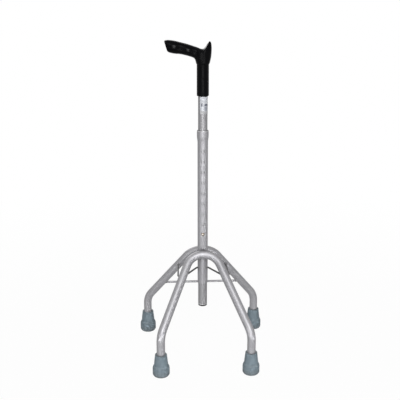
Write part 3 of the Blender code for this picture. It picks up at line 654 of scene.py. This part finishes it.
def makeOuterTube():
    values = outerTube
    flareRows, rimRows = values["flareRows"], values["rimRows"]
    flare = [flareBottom + values["bellTaper"] * i / flareRows for i in range(flareRows + 1)]
    turns = [math.radians(90 / rimRows * k) for k in range(rimRows + 1)]
    rim = [tubeTop - values["lip"] * (1 - math.sin(turn)) for turn in turns]
    holes = [buttonHeight + values["holePitch"] * i for i in range(values["holeCount"])]
    bm = drilledTube(outerRadius, [tubeBottom, *flare, *rim], holes)
    piece = addPiece("outerTube", bm, silverPaint, "base", ["outer_tube"])
    addWall(piece, values["wall"], values["edge"])


makeOuterTube()


# Inner tube with the button's hole
innerTube = {"wall": 0.0012, "edge": 0.00025, "rows": 12}


def makeInnerTube():
    count = innerTube["rows"]
    rows = [tubeLow.z + (tubeHigh.z - tubeLow.z) * i / count for i in range(count + 1)]
    bm = drilledTube(lambda z: innerRadius, rows, [buttonHeight])
    piece = addPiece("innerTube", bm, satinAluminium, "upper_shaft", ["inner_tube"])
    addWall(piece, innerTube["wall"], innerTube["edge"])


makeInnerTube()


# Bush in the bell mouth
guideBush = {"bore": 0.0118, "edge": 0.0006, "footEdge": 0.0003}


def makeGuideBush():
    bore, edge, footEdge = guideBush["bore"], guideBush["edge"], guideBush["footEdge"]
    low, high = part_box("guide_bush")
    outer = halfWidth("guide_bush")
    foot = outerRadius(low.z) - (bellOuter - outer)
    corners = [(bore, high.z, edge), (outer, high.z, edge), (outer, tubeTop - outerTube["bellStraight"], 0),
               (foot, low.z, footEdge), (bore, low.z, footEdge)]
    bm = turned(roundedProfile(corners, True), shaft, closed=True)
    addPiece("guideBush", bm, bushPlastic, "base", ["guide_bush"])


makeGuideBush()


# Plug in the inner tube's lower end
tubePlug = {"spigot": 0.0096, "spigotEdge": 0.0008, "seat": 0.1112, "edge": 0.0010, "softEdge": 0.0002,
            "gate": 0.0016, "gateDepth": 0.0004, "ribs": 3, "ribStep": 0.22, "ribHalf": 0.0005,
            "ribDepth": 0.0002}


def makeTubePlug():
    values = tubePlug
    low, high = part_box("tube_plug")
    outer = halfWidth("tube_plug")
    spigot, seat, gate, soft = values["spigot"], values["seat"], values["gate"], values["softEdge"]
    corners = [(0, high.z, 0), (spigot, high.z, values["spigotEdge"])]
    for i in range(values["ribs"]):  # gripping rings on the spigot
        z = high.z - (high.z - seat) * (values["ribStep"] + values["ribStep"] * i)
        corners += [(spigot, z + values["ribHalf"], 0), (spigot - values["ribDepth"], z, 0),
                    (spigot, z - values["ribHalf"], 0)]
    gateTop = low.z + values["gateDepth"]
    corners += [(spigot, seat, 0), (outer, seat, soft), (outer, low.z, values["edge"]), (gate, low.z, soft),
                (gate * 0.8, gateTop, 0), (0, gateTop, 0)]
    bm = turned(roundedProfile(corners), shaft)
    addPiece("tubePlug", bm, plugPlastic, "upper_shaft", ["tube_plug"])


makeTubePlug()
print("shaft tubes, bush and plug made")


# Label wrapped round the inner tube
label = {"width": 0.040, "corner": 0.0022, "leftEdge": math.radians(39), "thickness": 0.00010,
         "ripple": 0.00004, "rippleScale": 180, "columns": 72, "rows": 48}


def makeLabel():
    low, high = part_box("label")
    radius = innerRadius + fit
    half = Vector((label["width"] / 2, (high.z - low.z) / 2))
    inner = half - Vector((label["corner"], label["corner"]))
    bm = bmesh.new()
    bmesh.ops.create_grid(bm, x_segments=label["columns"], y_segments=label["rows"], size=1)
    reach = max(vert.co.x for vert in bm.verts)
    for vert in bm.verts:
        flat = Vector((vert.co.x * half.x, vert.co.y * half.y)) / reach
        over = Vector((abs(flat.x) - inner.x, abs(flat.y) - inner.y))
        if over.x > 0 and over.y > 0:  # square corners pulled in to round ones
            over *= max(over) / over.length
            flat = Vector((math.copysign(inner.x + over.x, flat.x), math.copysign(inner.y + over.y, flat.y)))
        angle = -math.pi / 2 - label["leftEdge"] + (flat.x + half.x) / radius
        wave = label["ripple"] * (0.5 + noise.noise(Vector((flat.x, flat.y, 0)) * label["rippleScale"]))
        vert.co = shaft + Vector((math.cos(angle), math.sin(angle), 0)) * (radius + max(0, wave))
        vert.co.z = (low.z + high.z) / 2 + flat.y
    piece = addPiece("label", bm, labelFilm, "upper_shaft", ["label"])
    film = piece.modifiers.new("film", "SOLIDIFY")
    film.thickness = label["thickness"]
    film.offset = 1


makeLabel()


# Snap button, turned on its own axis
snapButton = {"radius": 0.0037, "dome": 0.0016, "shank": 0.0015, "shoulder": 0.00906, "rivetSeat": 0.00786,
              "rivet": 0.0024, "lip": 0.0004}


def makeSnapButton():
    values = snapButton
    low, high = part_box("snap_button")
    face, tail = shaft.y - low.y, shaft.y - high.y
    r, lip, shank, rivet = values["radius"], values["lip"], values["shank"], values["rivet"]
    shoulder, seat = values["shoulder"], values["rivetSeat"]
    ball = (r * r + values["dome"] ** 2) / (2 * values["dome"])
    lean = math.asin((r - lip) / ball)
    dome = [(ball * math.sin(lean * i / 10), face - ball * (1 - math.cos(lean * i / 10))) for i in range(11)]
    side = dome[-1][1] - lip
    rolled = [(r - lip * (1 - math.sin(a)), side + lip * math.cos(a))
              for a in (math.radians(25 * k) for k in range(1, 4))]
    back = [(r, side), (r, shoulder), (shank, shoulder), (shank, seat), (rivet, seat),
            (rivet, (seat + tail) / 2), (rivet * 0.7, tail), (0, tail)]
    bm = turned(dome + rolled + back, Vector(), segments=48)
    facing = Matrix.Translation(shaft + up * buttonHeight) @ Matrix.Rotation(math.pi / 2, 4, "X")
    bmesh.ops.transform(bm, matrix=facing, verts=bm.verts)
    addPiece("snapButton", bm, buttonSteel, "button", ["snap_button"])


makeSnapButton()
print("label and button made")


# Handle: palm grip, thumb horn and sleeve in one moulding; heights are from the inner tube's top end
handle = {
    "sides": 104, "levels": 16, "sleeveRadius": 0.01425, "sleeveEdge": 0.0020, "boreRadius": 0.0114,
    "gripHalfWidth": 0.0155, "endHalfWidth": 0.0125, "gripFullness": 2.4, "hornFullness": 2.0,
    "hornTaper": 0.24, "taperReach": 3.0,  # how much the horn's top narrows, and for how many stations
    "endDepth": 0.0023, "endShare": 0.74, "underDepth": 0.3,  # the grip's rounded end, shallower below
    "endRows": 10, "endPower": 1.3, "sleeveRows": 8, "widening": 1.6, "levelling": 1.5,
    # top edge and underside of the grip, from its end to the saddle; X is from the shaft
    "gripTop": [(-0.0870, 0.0557), (-0.0800, 0.05655), (-0.0660, 0.0549), (-0.0520, 0.0515),
                (-0.0387, 0.0481), (-0.0250, 0.0438), (-0.0130, 0.0398), (-0.0045, 0.0364)],
    "gripUnder": [(-0.0815, 0.0308), (-0.0765, 0.0281), (-0.0655, 0.0257), (-0.0530, 0.0246),
                  (-0.0420, 0.0224), (-0.0300, 0.0191), (-0.0215, 0.0158), (-0.0183, 0.0123)],
    # thumb horn and neck; X is from the sleeve's outside
    "hornTop": [(-0.0133, 0.0365), (-0.0071, 0.0423), (-0.0025, 0.0495), (0.0013, 0.0532), (0.0046, 0.0500),
                (0.0060, 0.0405), (0.0059, 0.0295), (0.0050, 0.0185), (0.0031, 0.0090), (0.0013, 0.0010)],
    "neckUnder": [(0.0027, 0.0085), *((0.0013, z) for z in (0.0025, -0.0045, -0.0115, -0.0185, -0.0255,
                                                            -0.0315, -0.0365, -0.0405, -0.0435))],
    # edge where the neck steps down to the sleeve: its foot, its rise and its width
    "collarFoot": 0.0008, "collarRise": 0.0024, "collarStep": 0.0013, "collarReach": 4,
    # swells on the grip's sides, each at X and height with its length, height and rise
    "swells": [(-0.0670, 0.0425, 0.0078, 0.0075, 0.0018), (-0.0345, 0.0345, 0.0080, 0.0080, 0.0022),
               (0.0042, 0.0240, 0.0036, 0.0125, 0.0010),
               (-0.0510, 0.0430, 0.0075, 0.0095, -0.0012), (-0.0190, 0.0290, 0.0055, 0.0090, -0.0006)],
    # crease between grip and neck, from the saddle down to the crotch, with a lip on each side
    "creaseLine": [(-0.0112, 0.0430), (-0.0113, 0.0330), (-0.0116, 0.0245), (-0.0135, 0.0180),
                   (-0.0165, 0.0110)],
    "crease": 0.0016, "creaseWidth": 0.0016, "lip": 0.0008, "lipAt": 0.0036, "lipWidth": 0.0014,
    "seam": 0.00010, "seamTurn": math.radians(0.7),  # the mould's parting line
}


def smoothThrough(points, steps):
    # a smooth curve with a number of steps between neighbouring points
    padded = [points[0], *points, points[-1]]
    out = []
    for p0, p1, p2, p3 in zip(padded, padded[1:], padded[2:], padded[3:]):
        for t in (k / steps for k in range(steps)):
            out.append((2 * p1 + (p2 - p0) * t + (2 * p0 - 5 * p1 + 4 * p2 - p3) * t ** 2
                        + (3 * p1 - p0 - 3 * p2 + p3) * t ** 3) / 2)
    return [*out, points[-1]]


def handleStations():
    # each is top x, top z, under x, under z, half width, fullness and taper; a fullness of 2 is an ellipse,
    # more is squarer, and the taper narrows the upper half
    values = handle
    r = values["sleeveRadius"]
    neck = r + values["collarStep"]
    stations = []
    count = len(values["gripTop"])
    for i, (top, under) in enumerate(zip(values["gripTop"], values["gripUnder"])):
        wide = math.sin(math.pi / 2 * min(1, values["widening"] * i / (count - 1)))
        width = values["endHalfWidth"] + (values["gripHalfWidth"] - values["endHalfWidth"]) * wide
        stations.append((*top, *under, width, values["gripFullness"], 0))
    count = len(values["hornTop"])
    peak = max(range(count), key=lambda i: values["hornTop"][i][1])
    for i, (top, under) in enumerate(zip(values["hornTop"], values["neckUnder"])):
        fromPeak = min(1, abs(i - peak) / values["taperReach"])
        taper = values["hornTaper"] * math.cos(math.pi / 2 * fromPeak) ** 2
        stations.append((r + top[0], top[1], -r - under[0], under[1], neck, values["hornFullness"], taper))
    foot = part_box("handle")[0].z - tubeHigh.z + values["sleeveEdge"]
    highFrom, lowFrom = values["hornTop"][-1][1], values["neckUnder"][-1][1]
    for share in (0.2, 0.4, 0.6, 0.8, 1.0):  # the cuts turn from slanting to level
        low = lowFrom + (foot - lowFrom) * share
        high = highFrom + (low - highFrom) * (1 - (1 - share) ** values["levelling"])
        stations.append((neck, high, -neck, low, neck, 2.0, 0))
    return [Vector(station) for station in stations]


def shapedStations():
    # the smooth stations between a rounded grip end and a rounded sleeve end
    values = handle
    rows = smoothThrough(handleStations(), values["levels"])
    start = []
    count = values["endRows"]
    for k in range(count, 0, -1):
        angle = math.pi / 2 * k / count
        shrink = values["endShare"] + (1 - values["endShare"]) * math.cos(angle) ** values["endPower"]
        top, under = Vector(rows[0][0:2]), Vector(rows[0][2:4])
        middle = (top + under) / 2
        back = Vector((-values["endDepth"] * math.sin(angle), 0))
        start.append(Vector((*(middle.lerp(top, shrink) + back),
                             *(middle.lerp(under, shrink) + back * values["underDepth"]),
                             rows[0][4] * shrink, rows[0][5], 0)))
    finish = []
    edge, count = values["sleeveEdge"], values["sleeveRows"]
    for k in range(1, count + 1):
        angle = math.pi / 2 * k / count
        r = values["sleeveRadius"] - edge * (1 - math.cos(angle))
        z = rows[-1][1] - edge * math.sin(angle)
        finish.append(Vector((r, z, -r, z, r, 2.0, 0)))
    return start + rows + finish


def sideRelief(x, z):
    # how far a side of the handle stands out at X and height, from its swells and its crease
    values = handle
    relief = 0
    for atX, atZ, long, high, rise in values["swells"]:
        relief += rise * math.exp(-((x - atX) / long) ** 2 - ((z - atZ) / high) ** 2)
    spot = Vector((x, z))
    away = 1
    for a, b in zip(values["creaseLine"], values["creaseLine"][1:]):
        a, b = Vector(a), Vector(b)
        along = min(1, max(0, (spot - a).dot(b - a) / (b - a).length_squared))
        away = min(away, (spot - a.lerp(b, along)).length)
    relief += values["lip"] * math.exp(-((away - values["lipAt"]) / values["lipWidth"]) ** 2)
    return relief - values["crease"] * math.exp(-(away / values["creaseWidth"]) ** 2)


def stationPoint(row, angle, seam):
    top, under = Vector((row[0], 0, row[1])), Vector((row[2], 0, row[3]))
    power = 2 / row[5]
    rise = math.copysign(abs(math.cos(angle)) ** power, math.cos(angle))
    out = math.copysign(abs(math.sin(angle)) ** power, math.sin(angle))
    lift = (top - under).normalized() * seam if angle in (0, math.pi) else Vector()
    side = 1 if math.cos(angle) > 0 else -1
    out *= 1 - row[6] * max(0, math.cos(angle)) ** 2
    point = (top + under) / 2 + (top - under) / 2 * rise + Vector((0, row[4] * out, 0)) + lift * side
    point.y += sideRelief(point.x, point.z) * math.sin(angle) ** 3
    return held(point)


def held(point):
    # below the collar the skin keeps to the sleeve, and just above it leaves it no faster than 45 degrees
    values = handle
    climb = (point.z - values["collarFoot"]) / values["collarRise"]
    part = min(1, max(0, climb))
    limit = values["sleeveRadius"] + values["collarStep"] * part * part * (3 - 2 * part)
    limit += max(0, climb - 1) * values["collarRise"]
    reach = math.hypot(point.x, point.y)
    if reach > limit and climb < values["collarReach"]:
        point.x *= limit / reach
        point.y *= limit / reach
    return point


def makeHandle():
    values = handle
    rows = shapedStations()
    sides = values["sides"]
    angles = [math.tau * i / sides for i in range(sides)]
    for i in (0, sides // 2):  # close neighbours keep the parting line fine
        angles[i - 1] = math.pi * (i > 0) - values["seamTurn"]
        angles[i + 1] = math.pi * (i > 0) + values["seamTurn"]
    angles[0], angles[sides // 2] = 0, math.pi
    bm = bmesh.new()
    ring = bmesh.ops.create_circle(bm, segments=sides, radius=1)["verts"]
    ring.sort(key=lambda vert: math.atan2(vert.co.y, vert.co.x) % math.tau)
    edges = list(bm.edges)
    for k, row in enumerate(rows):
        seam = values["seam"] * min(1, k / 10, (len(rows) - 1 - k) / 10)  # it fades at both ends
        if k == 1:
            bmesh.ops.contextual_create(bm, geom=edges)
        if k > 0:
            made = bmesh.ops.extrude_edge_only(bm, edges=edges)["geom"]
            edges = [item for item in made if isinstance(item, bmesh.types.BMEdge)
                     and not any(vert in item.verts for vert in ring)]
            fresh = {vert for edge in edges for vert in edge.verts}
            ring = [next(edge.other_vert(vert) for edge in vert.link_edges if edge.other_vert(vert) in fresh)
                    for vert in ring]
        for vert, angle in zip(ring, angles):
            vert.co = stationPoint(row, angle, seam) + shaft + up * tubeHigh.z
    rim = values["sleeveRadius"] - values["sleeveEdge"]
    squeeze = values["boreRadius"] / rim
    axis = Matrix.Translation(shaft)
    edges = extrudeRing(bm, edges, axis @ Matrix.Diagonal((squeeze, squeeze, 1, 1)) @ axis.inverted())
    depth = tubeHigh.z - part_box("handle")[0].z + fit
    edges = extrudeRing(bm, edges, Matrix.Translation(up * depth))
    bmesh.ops.contextual_create(bm, geom=edges)
    addPiece("handle", bm, gripPlastic, "upper_shaft", ["handle"], sharpAngle=50)


makeHandle()
print("handle made")


# Legs: each pair is one bent tube, with its crown against the outer tube
legs = {"radius": 0.010, "wall": 0.0010, "edge": 0.0002, "sides": 56, "step": math.radians(4)}
frontLegs = {"side": -1, "crownZ": 0.252, "crownRadius": 0.043, "ankleZ": 0.1020, "ankleRadius": 0.042}
rearLegs = {"side": 1, "crownZ": 0.2485, "crownRadius": 0.047, "ankleZ": 0.0946, "ankleRadius": 0.048}


def filletPoints(before, corner, after, radius):
    a = (before - corner).normalized()
    b = (after - corner).normalized()
    half = a.angle(b) / 2
    centre = corner + (a + b).normalized() * radius / math.sin(half)
    arm = corner + a * radius / math.tan(half) - centre
    return arcPoints(centre, arm, math.pi - 2 * half, arm.cross(-a).normalized(), legs["step"])


def legRun(values, footNode, legNode):
    # path of the pair, the crown's end and the direction of the straight right leg
    foot = middleOf(footNode)
    foot.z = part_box(legNode)[0].z
    touching = outerTube["radius"] + fit + legs["radius"]
    crown = shaft + Vector((0, values["side"] * touching, values["crownZ"]))
    ankle = Vector((foot.x, foot.y, values["ankleZ"]))
    fall = Vector((0, ankle.y, ankle.z)) - crown
    down = fall.normalized()
    r = values["crownRadius"]
    drop = fall.length - r
    # the straight leg is the tangent from the crown's arc to the ankle
    slope = math.atan2(ankle.x, drop) - math.asin(r / math.hypot(ankle.x, drop))
    count = math.ceil((math.pi / 2 - slope) / legs["step"])
    half = []
    for i in range(count + 1):
        a = (math.pi / 2 - slope) * i / count
        half.append(crown + down * r + Vector((math.sin(a), 0, 0)) * r - down * math.cos(a) * r)
    hip = half[-1]
    half += [*filletPoints(hip, ankle, foot, values["ankleRadius"]), foot]
    return [mirrored(point) for point in reversed(half[1:])] + half, hip, (ankle - hip).normalized()


frontPath, frontHip, frontWay = legRun(frontLegs, "tip_front_right", "front_legs")
rearPath, rearHip, rearWay = legRun(rearLegs, "tip_rear_right", "rear_legs")


def legAt(hip, way, z):
    return hip + way * ((z - hip.z) / way.z)


def makeLegs(name, path, node):
    bm = swept(path, [legs["radius"]] * len(path), legs["sides"], ends="open")
    piece = addPiece(name, bm, silverPaint, "base", [node])
    addWall(piece, legs["wall"], legs["edge"], 2)


makeLegs("frontLegs", frontPath, "front_legs")
makeLegs("rearLegs", rearPath, "rear_legs")
print("legs made")


# Rubber tips
rubberTip = {"bore": 0.0103, "rimWall": 0.0037, "neckWall": 0.0066, "neckZ": 0.0275, "bandTop": 0.0220,
             "bandBottom": 0.0040, "soleInset": 0.0031, "soleRise": 0.0004, "floor": 0.0120, "rim": 0.0006,
             "boreEdge": 0.0004, "neckBend": 0.003, "shoulder": 0.0006, "shoulderBend": 0.0014,
             "shoulderDrop": 0.0030, "bandBend": 0.002, "soleBend": 0.0022, "soleEdge": 0.0009,
             "ringZ": 0.0150, "ringDepth": 0.0003, "ringWidth": 0.0009, "ringEdge": 0.0002,
             "tread": 0.0095, "treadWidth": 0.0025, "treadDepth": 0.0012, "treadEdge": 0.0003,
             "segments": 80}


def makeTip(name, node):
    values = rubberTip
    bore, top = values["bore"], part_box(node)[1].z
    band = halfWidth(node)
    neck = bore + values["neckWall"]
    ring, deep, wide = values["ringZ"], band - values["ringDepth"], values["ringWidth"]
    tread, treadDepth = values["tread"], values["treadDepth"]
    outerTread = tread + values["treadWidth"]
    rim, soft, fine = values["rim"], values["treadEdge"], values["ringEdge"]
    shoulder, bandTop, inset = values["shoulder"], values["bandTop"], values["soleInset"]
    corners = [(0, values["floor"], 0), (bore, values["floor"], values["boreEdge"]), (bore, top, rim * 0.8),
               (bore + values["rimWall"], top, rim), (neck, values["neckZ"], values["neckBend"]),
               (band - shoulder, bandTop + shoulder, values["shoulderBend"]),
               (band, bandTop - values["shoulderDrop"], values["bandBend"]),
               (band, ring + wide, fine), (deep, ring + wide / 2, fine), (deep, ring - wide / 2, fine),
               (band, ring - wide, fine), (band, values["bandBottom"], values["soleBend"]),
               (band - inset * 0.8, values["soleRise"], values["soleEdge"]), (band - inset, 0, 0),
               (outerTread, 0, soft), (outerTread, treadDepth, soft), (tread, treadDepth, soft),
               (tread, 0, soft), (0, 0, 0)]
    centre = middleOf(node)
    centre.z = 0
    bm = turned(roundedProfile(corners, steps=5), centre, values["segments"])
    addPiece(name, bm, tipRubber, "base", [node], sharpAngle=60)


for end in ("Front", "Rear"):
    for hand in ("Right", "Left"):
        makeTip(f"tip{end}{hand}", f"tip_{end.lower()}_{hand.lower()}")
print("rubber tips made")


# Rods: the dark brace, bent like an M, and the cross rod between the rear legs
rods = {"braceRadius": 0.0021, "braceZ": 0.2050, "legBend": 0.0086, "hubBend": 0.0195, "lead": 0.0027,
        "crossRadius": 0.0028, "crossZ": 0.1436, "sink": 0.0010, "sides": 28, "step": math.radians(5)}


def wrapRound(rings):
    # a level path round circles given as centre, radius and turn; 1 turns left, -1 right
    lines = []
    for (c1, r1, s1), (c2, r2, s2) in zip(rings, rings[1:]):
        between = c2 - c1
        lean = math.acos((s2 * r2 - s1 * r1) / between.length)
        normal = Matrix.Rotation(lean, 3, "Z") @ between.normalized()
        lines.append((c1 - normal * s1 * r1, c2 - normal * s2 * r2))
    points = [lines[0][0]]
    for (centre, _, side), before, after in zip(rings[1:-1], lines, lines[1:]):
        a = before[1] - centre
        b = after[0] - centre
        turn = side * (side * math.atan2(a.cross(b).z, a.dot(b)) % math.tau)
        points += arcPoints(centre, a, turn, up, rods["step"])
    return [*points, lines[-1][1]]


def braceRun():  # path from the right rear leg to the left, past both front legs and the tube
    z, r = rods["braceZ"], rods["braceRadius"]
    leg = legAt(frontHip, frontWay, z)
    slant = math.hypot(1, frontWay.y / frontWay.z)
    bend = Vector((leg.x, leg.y + (legs["radius"] + fit + r) * slant + rods["legBend"], z))
    hub = shaft + Vector((0, outerTube["radius"] + fit + r - rods["hubBend"], z))
    start = legAt(rearHip, rearWay, z) + Vector((rods["lead"], 0, 0))
    path = wrapRound([(start, 0, 1), (bend, rods["legBend"], -1), (hub, rods["hubBend"], 1),
                      (mirrored(bend), rods["legBend"], -1), (mirrored(start), 0, 1)])
    along = (path[1] - path[0]).normalized()
    legEnd = start + along * (legs["radius"] / along.cross(rearWay).length)
    path[0] = legEnd - along * rods["sink"]  # runs a little into the leg
    path[-1] = mirrored(path[0])
    return path


def makeRods():
    path = braceRun()
    bm = swept(path, [rods["braceRadius"]] * len(path), rods["sides"])
    addPiece("braceRod", bm, darkRod, "base", ["brace_rod"])
    legCentre = legAt(rearHip, rearWay, rods["crossZ"])
    end = legCentre - Vector((legs["radius"] / abs(rearWay.z) - rods["sink"], 0, 0))
    bm = swept([mirrored(end), end], [rods["crossRadius"]] * 2, rods["sides"])
    addPiece("crossRod", bm, silverPaint, "base", ["cross_rod"])


makeRods()
print("rods made")


# Welds
crownWeld = {"across": 0.0074, "high": 0.0066, "radius": 0.0019, "ripples": 15, "ripple": 0.16,
             "rippleSteps": 8, "wander": 0.05, "wanderScale": 1.7, "sides": 18}
rodWeld = {"size": (0.0034, 0.0031, 0.0031), "ripple": 0.06, "ripples": 5, "lump": 0.16, "lumpScale": 1.6}


def makeCrownWeld(name, node, side, crownZ):
    # a rippled bead round the spot where the crown touches the outer tube
    values = crownWeld
    tubeR, legR = outerTube["radius"], legs["radius"]
    path, radii = [], []
    steps = values["rippleSteps"]
    count = values["ripples"] * steps
    for i in range(count):
        angle = math.tau * i / count
        spot = Vector((math.cos(angle), math.sin(angle), side)) * values["wanderScale"]
        wander = 1 + values["wander"] * noise.noise(spot)
        dx = values["across"] * math.sin(angle) * wander
        dz = values["high"] * math.cos(angle) * wander
        tubeGap = tubeR - math.sqrt(tubeR ** 2 - dx ** 2)
        legGap = legR - math.sqrt(legR ** 2 - dz ** 2)
        depth = tubeR + fit / 2 + (legGap - tubeGap) / 2
        path.append(shaft + Vector((dx, side * depth, crownZ + dz)))
        wave = (i % steps) / steps  # each ripple rises slowly and falls steeply
        radii.append(values["radius"] * (1 + values["ripple"] * (wave - 0.5)) * wander)
    bm = swept(path, radii, values["sides"], ends="joined")
    addPiece(name, bm, weldMetal, "base", [node], sharpAngle=60)


def makeRodWeld(name, node, along, seed):
    # a lumpy bead, rippled along the way it was laid
    values = rodWeld
    bm = bmesh.new()
    bmesh.ops.create_icosphere(bm, subdivisions=4, radius=1)
    for vert in bm.verts:
        way = vert.co.normalized()
        lump = values["lump"] * noise.noise(way * values["lumpScale"] + Vector((seed, 0, 0)))
        wave = values["ripple"] * math.cos(math.tau * values["ripples"] * way.x / 2)
        vert.co = way * (1 + lump + wave * (1 - abs(way.x)))
    lean = Vector((1, 0, 0)).rotation_difference(along).to_matrix().to_4x4()
    placed = Matrix.Translation(middleOf(node)) @ lean @ Matrix.Diagonal((*values["size"], 1))
    bmesh.ops.transform(bm, matrix=placed, verts=bm.verts)
    addPiece(name, bm, weldMetal, "base", [node], sharpAngle=60)


def makeWelds():
    makeCrownWeld("crownWeldFront", "crown_weld_front", -1, frontLegs["crownZ"])
    makeCrownWeld("crownWeldRear", "crown_weld_rear", 1, rearLegs["crownZ"])
    makeRodWeld("braceWeldShaft", "brace_weld_shaft", Vector((1, 0, 0)), 1)
    onLegs = (("braceWeldRear", "brace_weld_rear_", rearWay),
              ("braceWeldFront", "brace_weld_front_", frontWay),
              ("crossWeld", "cross_weld_", rearWay))
    for k, hand in enumerate(("Right", "Left")):
        for m, (name, node, way) in enumerate(onLegs):
            along = way if hand == "Right" else mirrored(way)
            makeRodWeld(name + hand, node + hand.lower(), along, 10 + 3 * k + m)


makeWelds()
print("welds made")


# Pieces inside, which keep the frame's shapes
def finishHidden():
    looks = {"button_spring": springSteel, "button_arm": springSteel}
    for end in ("front_right", "front_left", "rear_right", "rear_left"):
        looks["tip_washer_" + end] = zinc
    for node, look in looks.items():
        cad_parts[node].data.materials.clear()
        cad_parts[node].data.materials.append(look)


finishHidden()


# Stage: pale floor, soft lamps and the camera
stage = {"floorSize": 60.0, "floorColor": (0.60, 0.60, 0.60), "whiteNear": 0.97, "nearReach": 0.45,
         "farReach": 1.5, "worldLight": 0.08}


def seenBy(nodes):  # 1 for rays that show the stage itself, straight, mirrored or through something clear
    rays = nodes.add("LightPath")
    indirect = nodes.larger(rays["Is Glossy Ray"], rays["Is Transmission Ray"])
    return nodes.larger(rays["Is Camera Ray"], indirect)


def makeFloor():
    look = bpy.data.materials.new("paleFloor")
    look.use_nodes = True
    look.node_tree.nodes.clear()
    nodes = nodeTools(look.node_tree)
    matt = nodes.add("BsdfDiffuse", {"Color": stage["floorColor"]})[0]
    white = nodes.add("Emission", {"Color": (1, 1, 1), "Strength": 1.0})[0]
    away = nodes.length(nodes.add("TexCoord")["Object"])
    whiteness = nodes.remap(away, stage["nearReach"], stage["farReach"], stage["whiteNear"], 1.0)
    lit = nodes.add("MixShader", {0: nodes.times(seenBy(nodes), whiteness), 1: matt, 2: white})[0]
    clear = nodes.add("BsdfTransparent")[0]
    shown = nodes.add("MixShader", {0: nodes.add("NewGeometry")["Backfacing"], 1: lit, 2: clear})[0]
    nodes.add("OutputMaterial", {"Surface": shown})
    bm = bmesh.new()
    bmesh.ops.create_grid(bm, x_segments=1, y_segments=1, size=stage["floorSize"])
    linked("floor", meshOf("floor", bm, look))


def makeWorld():
    world = bpy.data.worlds.new("studio")
    bpy.context.scene.world = world
    world.use_nodes = True
    world.node_tree.nodes.clear()
    nodes = nodeTools(world.node_tree)
    strength = nodes.remap(seenBy(nodes), 0.0, 1.0, stage["worldLight"], 1.0)
    sky = nodes.add("Background", {"Color": (1, 1, 1), "Strength": strength})[0]
    nodes.add("OutputWorld", {"Surface": sky})


# each lamp aims at a height on the shaft's middle
lamps = {
    "key": {"place": (0.15, -2.6, 2.3), "aimZ": 0.40, "size": (1.8, 0.6), "power": 76.0},
    "front": {"place": (-0.08, -3.1, 0.36), "aimZ": 0.25, "size": (1.3, 0.8), "power": 29.0},
    "top": {"place": (-0.50, -1.2, 3.3), "aimZ": 0.30, "size": (1.1, 0.9), "power": 11.0},
    "low": {"place": (0.0, -1.5, 0.06), "aimZ": 0.20, "size": (1.8, 0.10), "power": 4.0},
    "left": {"place": (-1.3, -1.5, 0.10), "aimZ": -0.22, "size": (0.9, 0.14), "power": 1.35, "spread": 52},
    "right": {"place": (1.3, -1.5, 0.10), "aimZ": -0.22, "size": (0.9, 0.14), "power": 1.35, "spread": 52},
    "back": {"place": (-0.8, 2.4, 1.5), "aimZ": 0.40, "size": (1.4, 1.2), "power": 24.0},
}
lampMiddle = (0.0, 0.03)


def makeLamps():
    for name, values in lamps.items():
        lamp = bpy.data.lights.new(name, "AREA")
        lamp.shape = "RECTANGLE"
        lamp.size, lamp.size_y = values["size"]
        lamp.energy = values["power"]
        lamp.spread = math.radians(values.get("spread", 180))
        holder = linked(name, lamp)
        holder.location = values["place"]
        holder.visible_camera = False
        way = Vector((*lampMiddle, values["aimZ"])) - Vector(values["place"])
        holder.rotation_euler = way.to_track_quat("-Z", "Y").to_euler()


camera = {"place": (-0.0989, -1.7194, 0.9135), "tilt": math.radians(90 - 16.7396),
          "pan": math.radians(-3.01215), "lens": 67.79}


def makeCamera():
    eye = bpy.data.cameras.new("camera")
    eye.lens = camera["lens"]
    holder = linked("camera", eye)
    holder.location = camera["place"]
    holder.rotation_euler = (camera["tilt"], 0, camera["pan"])
    bpy.context.scene.camera = holder


makeFloor()
makeWorld()
makeLamps()
makeCamera()
bpy.context.scene.view_settings.view_transform = "Standard"
print("stage ready")
